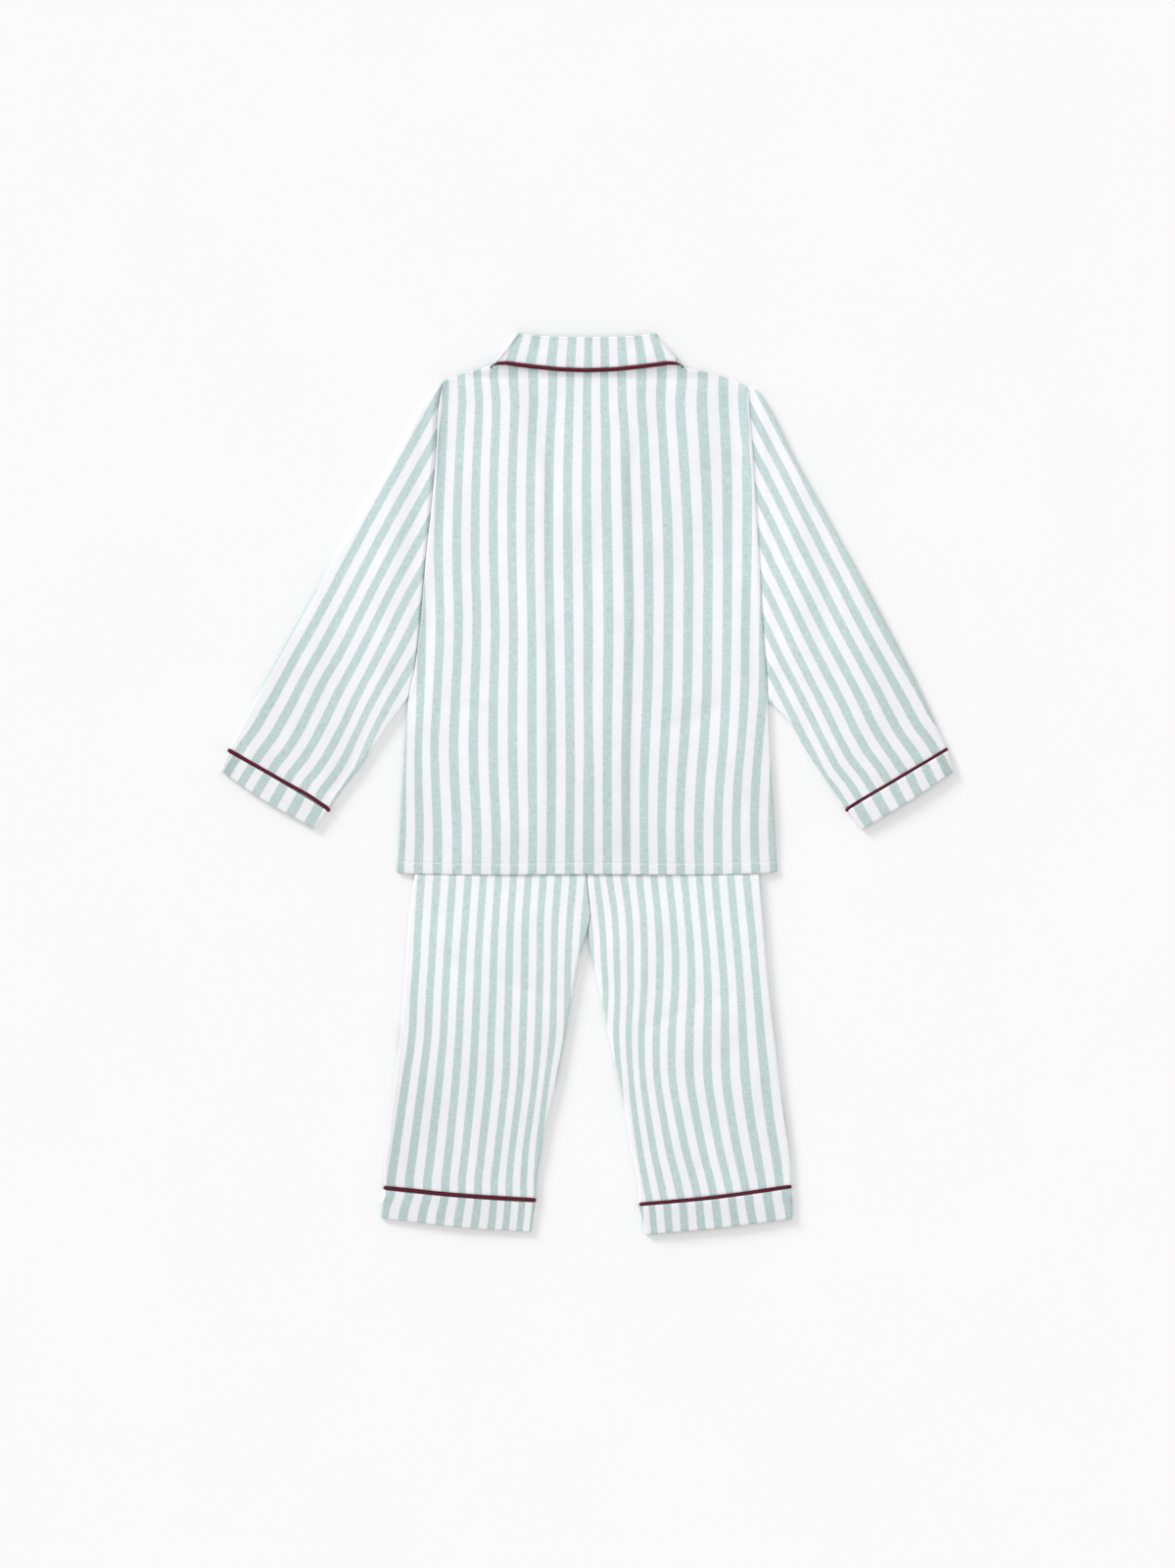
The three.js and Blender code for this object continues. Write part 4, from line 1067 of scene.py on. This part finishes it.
collar = {
    "centre": -1,
    "top": 5.5,              # its outer face on the back
    "creaseRadius": 1.15,
    "cornerCrease": 64,      # where the crease turns over to the front
    "pipingWidth": 3.5,
    "pipingHigh": 2.2,
    # painted light over the whole collar
    "paintedLight": -0.1,
    # Half of it, from the centre back round the neck to its front point, in the columns turn, crease,
    # edge and stand. A turn of 0 lies on the back, 180 under the front. The crease is the top fold, the
    # edge the free edge, and the stand how far down inside it reaches.
    "stations": [
        (0, (0, 410.4), (0, 381.7), 20.5),
        (0, (26.5, 410.9), (25.5, 382.6), 19),
        (0, (50, 412.2), (52, 385.4), 16),
        (0, (58, 413.6), (73, 388.1), 9),
        (0, (64, 414.6), (86.5, 387.6), 3),
        (180, (64, 414.6), (86.5, 387.6), 3),
        (180, (54, 394), (86, 368), 3),
        (180, (41, 364), (83, 340), 3),
        (180, (24, 330), (78, 304), 3),
        (180, (12, 304), (73, 274), 3),
    ],
    # Place across, at the crease and at the free edge, of the mint stripes on the back of the fall
    "stripes": [(-4, -63.5, -73), (-3, -47.5, -53), (-2, -31, -34), (-1, -14, -16), (0, 0.5, 0),
                (1, 15, 15.5), (2, 30.5, 32), (3, 46, 50), (4, 60, 69.5)],
    "creases": [
        (-47, 411, -40, 398, 5, -0.7, 5, 0), (42, 411, 38, 398, 5, -0.7, 5, 0),
        (-66, 402, -56, 390, 6, 0.5, 6, 0), (62, 402, 54, 390, 6, 0.5, 6, 0),
        (-2, 412, -1, 384, 2.4, 0.35, 5, 0),
    ],
}


# Stations close together, from one front point round the neck to the other
def collarRun():
    columns = ("turn", "crease", "edge", "stand")
    stations = [dict(zip(columns, map(np.array, row))) for row in collar["stations"]]
    half = []
    for first, second in zip(stations, stations[1:]):
        turning = second["turn"] != first["turn"]
        length = math.dist(first["edge"], second["edge"])
        steps = 14 if turning else max(2, round(length / 2))
        for t in np.arange(steps) / steps:
            half.append({key: between(first[key], second[key], t) for key in columns})
    half.append(stations[-1])
    along = 0
    for station, before in zip(half, [half[0], *half]):
        along += float(np.hypot(*(station["edge"] - before["edge"])))
        along += abs(station["turn"] - before["turn"]) / 180 * math.pi * collar["top"] / 2
        station["along"] = along
    return [{**station, "sign": -1} for station in half[:0:-1]] + [{**station, "sign": 1} for station in half]


# A point of the collar at a distance down from its crease and a depth below its outer face
def collarPoint(station, down, depth):
    fold = collar["top"] / 2
    across = station["edge"] - station["crease"]
    across = across / np.hypot(*across)
    plan = station["crease"] + across * down
    angle = math.radians(float(station["turn"]))
    if station["crease"][0] > collar["cornerCrease"] - 0.01:
        plan = plan + np.array([-across[1], across[0]]) * ((fold - depth) * math.sin(angle) - fold)
    x, y = collar["centre"] + station["sign"] * plan[0], plan[1]
    if station["turn"] < 90 and depth < 1.5:
        depth = depth - float(creaseHeight(np.array(x), np.array(y), collar["creases"]))
    return [x, y, fold + (fold - depth) * math.cos(angle)]


# Which stripe lies at a point of the fall: they fan out towards its free edge
def collarStripe(x, y):
    down = np.clip((412 - y) / 28, 0, 1)
    numbers = [row[0] for row in collar["stripes"]]
    places = [between(row[1], row[2], down) for row in collar["stripes"]]
    return float(np.interp(x, places, numbers)) + (x - np.clip(x, places[0], places[-1])) / 17.5


# The section of the cloth at a station, as (distance down from the crease, depth below the outer face):
# from the free edge up the fall, round the crease and down the stand
def collarSection(station, width):
    radius = collar["creaseRadius"]
    section = [(width, 0.75), (width - 0.25, 0.35), (width - 1.2, 0.0)]
    for down in np.linspace(width - 2.4, radius * 1.6, 14):
        section.append((down, -0.25 * math.sin(math.pi * down / width)))
    for angle in np.linspace(0, math.pi, 8):
        section.append((radius - radius * math.sin(angle), radius - radius * math.cos(angle)))
    stand = max(float(station["stand"]), radius + 1)
    return section + [(down, 2 * radius) for down in np.linspace(radius + 0.5, stand, 5)]


def addCollar():
    run = collarRun()
    widths = [float(np.hypot(*(station["edge"] - station["crease"]))) for station in run]
    sections = [collarSection(station, width) for station, width in zip(run, widths)]
    grid = [[collarPoint(station, down, depth) for down, depth in section]
            for station, section in zip(run, sections)]
    # On the back the stripes lie as in the table. Past the corners they run on along the fronts.
    onBack = [number for number, station in enumerate(run) if station["turn"] == 0]
    rows = []
    for number, (station, section) in enumerate(zip(run, sections)):
        corner = min(max(number, onBack[0]), onBack[-1])
        past = station["sign"] * (station["along"] - run[corner]["along"]) / cloth["stripePitch"]
        rows.append([(collarStripe(x, y) + past, down / cloth["stripePitch"])
                     for (x, y, _), (down, _) in zip(grid[corner], section)])
    fromFold = np.array([[down for down, _ in section] for section in sections])
    grid = np.array(grid)
    fromCentre = np.abs(grid[..., 0] - collar["centre"])
    # Painted shade: darker over the crease, and at the folds where the neck's curve bunches it up, and a
    # little lighter all over as painted light
    foldShade = 0.9 * near(fromCentre - 46, 5) + 0.5 * near(fromCentre, 5)
    deep = collar["paintedLight"] + ease(fromFold, 3.5, 0.5) + ease(grid[..., 1], 396, 407) * foldShade
    piece = addShell("collarCloth", grid, np.array(rows), 0.5, deep, facing=-1)
    layCloth(piece, "collar")

    # The piping follows the free edge and thins out at the front points and where it turns the corner
    high = collar["pipingHigh"]
    rings = []
    cornerAt = np.mean([station["along"] for station in run if 0 < station["turn"] < 180])
    for number, (station, width) in enumerate(zip(run, widths)):
        end = min(number, len(run) - 1 - number)
        fromCorner = abs(station["along"] - cornerAt) - math.pi * collar["top"] / 4
        size = (0.45 + 0.55 * min(1, end / 3)) * (0.36 + 0.64 * float(ease(fromCorner, 0, 9)))
        turn = float(station["turn"]) / 180
        middle = (1 - turn) * (0.75 - high / 2) + turn * (0.1 + high / 2) + 0.9 * math.sin(math.pi * turn)
        reach = 1.9 + 2.6 * float(ease(fromCorner, 8, 0))    # at the corner the piping runs on past the cloth
        halfWide, halfHigh = collar["pipingWidth"] / 2 * size, high / 2 * size
        rings.append([collarPoint(station, width + reach + halfWide * math.cos(angle),
                                  middle + halfHigh * math.sin(angle)) for angle in cordRing])
    piping = addCordMesh("collarPiping", np.array(rings), biasTape, False, 2)
    layTrim(piping, "collar_piping")


addCollar()
print("collar folded")


buttons = {"radius": 5.75, "rim": 0.9, "holes": 4, "holeRadius": 0.75, "holeRing": 1.5, "clear": 0.15,
           "steps": 40, "holeSteps": 12}


# A turned disc with a raised rim and a dished face, drilled through four times
def addButton(number):
    low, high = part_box(f"button_{number}")
    centre, thick = (low + high) / 2, high.z - low.z
    # It lies face down, close under the lower front, which the lap's swell lifts off the floor
    under = float(frontSurface(np.array(0.5), centre.x / mm, centre.y / mm)) - cloth["thickness"]
    centre.z = (under - buttons["clear"]) * mm - thick / 2
    radius, rim = buttons["radius"] * mm, buttons["rim"] * mm
    # Distance from the axis and share of the thickness, from the back over the rim into the dish
    profile = [(0, -0.5), (radius - 1.2 * mm, -0.5), (radius - 0.35 * mm, -0.36), (radius, -0.05),
               (radius, 0.2), (radius - 0.3 * mm, 0.45), (radius - rim * 0.6, 0.5), (radius - rim, 0.42),
               (radius - rim * 1.6, 0.2), (radius * 0.45, 0.12), (0, 0.12)]
    shape = bmesh.new()
    line = [shape.verts.new((r, 0, -h * thick)) for r, h in profile]
    edges = [shape.edges.new(pair) for pair in zip(line, line[1:])]
    bmesh.ops.spin(shape, geom=line + edges, axis=(0, 0, 1), cent=(0, 0, 0), angle=2 * math.pi,
                   steps=buttons["steps"])
    bmesh.ops.remove_doubles(shape, verts=shape.verts, dist=1e-6)
    mesh = bpy.data.meshes.new(f"resinButton{number}")
    shape.to_mesh(mesh)
    shape.free()
    piece = finishPiece(f"resinButton{number}", mesh, buttonResin)

    drill = bmesh.new()
    for hole in range(buttons["holes"]):
        angle = math.pi / 4 + hole * math.pi / 2
        wide = buttons["holeRadius"] * mm
        made = bmesh.ops.create_cone(drill, cap_ends=True, segments=buttons["holeSteps"], radius1=wide,
                                     radius2=wide, depth=thick * 3)
        shift = Vector((math.cos(angle), math.sin(angle), 0)) * buttons["holeRing"] * mm
        bmesh.ops.translate(drill, verts=made["verts"], vec=shift)
    drillMesh = bpy.data.meshes.new("drill")
    drill.to_mesh(drillMesh)
    drill.free()
    drillObject = addObject("drill", drillMesh)
    cut = piece.modifiers.new("holes", "BOOLEAN")
    cut.operation, cut.object, cut.solver = "DIFFERENCE", drillObject, "EXACT"
    bpy.context.view_layer.update()
    drilled = bpy.data.meshes.new_from_object(piece.evaluated_get(bpy.context.evaluated_depsgraph_get()))
    piece.modifiers.clear()
    piece.data = drilled
    bpy.data.objects.remove(drillObject)
    drilled.transform(Matrix.Translation(centre))
    layTrim(piece, f"button_{number}")


for number in (1, 2, 3, 4):
    addButton(number)
print("buttons turned")


studio = {
    "floorHex": "#efefef",
    "floorLightHex": "#f0f0f0",
    "floorReach": 8,         # metres to each side
    "fill": 0.884,           # light from all round
    "fillLean": 0.24,        # how much more of it comes from one side
    "leanTowards": (0.68, -0.73, 0),
    "key": 2.3,              # one broad lamp, low at the upper left
    "keyTravel": (0.65, -0.70, -0.30),
    "keyAngle": 15,
    "cameraHeight": 3000,
    "clothHeight": 4,        # the frame is measured at this height
    "frameHeight": 1440.9,   # what the picture's 1601 rows cover on the floor, at 0.9 mm each
    "frameCentre": (-0.45, 0),
}

# Plain matt painted board, with the faint mottle of a rolled coat
board, boardTree = newMaterial("mattPaintedBoard")
place = addNode(boardTree, "ShaderNodeTexCoord")["Object"]
mottle = addNode(boardTree, "ShaderNodeTexNoise", {"Scale": 6, "Detail": 2}, {"Vector": place})["Fac"]
paint = addNode(boardTree, "ShaderNodeMix", {"data_type": "RGBA", 6: toLinear(studio["floorHex"]),
                                             7: toLinear(studio["floorLightHex"])}, {0: mottle})[2]
surface = addNode(boardTree, "ShaderNodeBsdfPrincipled", {"Roughness": 0.9, "Specular IOR Level": 0.1},
                  {"Base Color": paint})[0]
addNode(boardTree, "ShaderNodeOutputMaterial", links={"Surface": surface})
floorMesh = bpy.data.meshes.new("floor")
reach = studio["floorReach"]
corners = [(-reach, -reach, 0), (reach, -reach, 0), (reach, reach, 0), (-reach, reach, 0)]
floorMesh.from_pydata(corners, [], [[0, 1, 2, 3]])
floorMesh.materials.append(board)
floor = addObject("floor", floorMesh)

# Soft light from all round, and one broad lamp
world = bpy.data.worlds.new("evenStudioLight")
world.use_nodes = True
sky = world.node_tree
sky.nodes.clear()
skyAt = addNode(sky, "ShaderNodeTexCoord")["Generated"]
lean = addNode(sky, "ShaderNodeVectorMath", {"operation": "DOT_PRODUCT", 1: studio["leanTowards"]},
               {0: skyAt})[1]
amount = addNode(sky, "ShaderNodeMath", {"operation": "MULTIPLY_ADD", 1: studio["fillLean"] * studio["fill"],
                                         2: studio["fill"]}, {0: lean})[0]
fill = addNode(sky, "ShaderNodeBackground", {"Color": (1, 1, 1, 1)}, {"Strength": amount})[0]
addNode(sky, "ShaderNodeOutputWorld", links={"Surface": fill})
scene.world = world
lamp = bpy.data.lights.new("broadKey", "SUN")
lamp.energy = studio["key"]
lamp.angle = math.radians(studio["keyAngle"])
key = addObject("broadKey", lamp)
key.rotation_euler = Vector(studio["keyTravel"]).to_track_quat("-Z", "Y").to_euler()

# Straight down. The sensor's width goes along the picture's longer side.
lens = bpy.data.cameras.new("overheadCamera")
lens.sensor_width = 36
lens.lens = lens.sensor_width * (studio["cameraHeight"] - studio["clothHeight"]) / studio["frameHeight"]
camera = addObject("overheadCamera", lens)
camera.location = Vector((*studio["frameCentre"], studio["cameraHeight"])) * mm
scene.camera = camera
scene.view_settings.view_transform = "Standard"
print("floor, light and camera set")
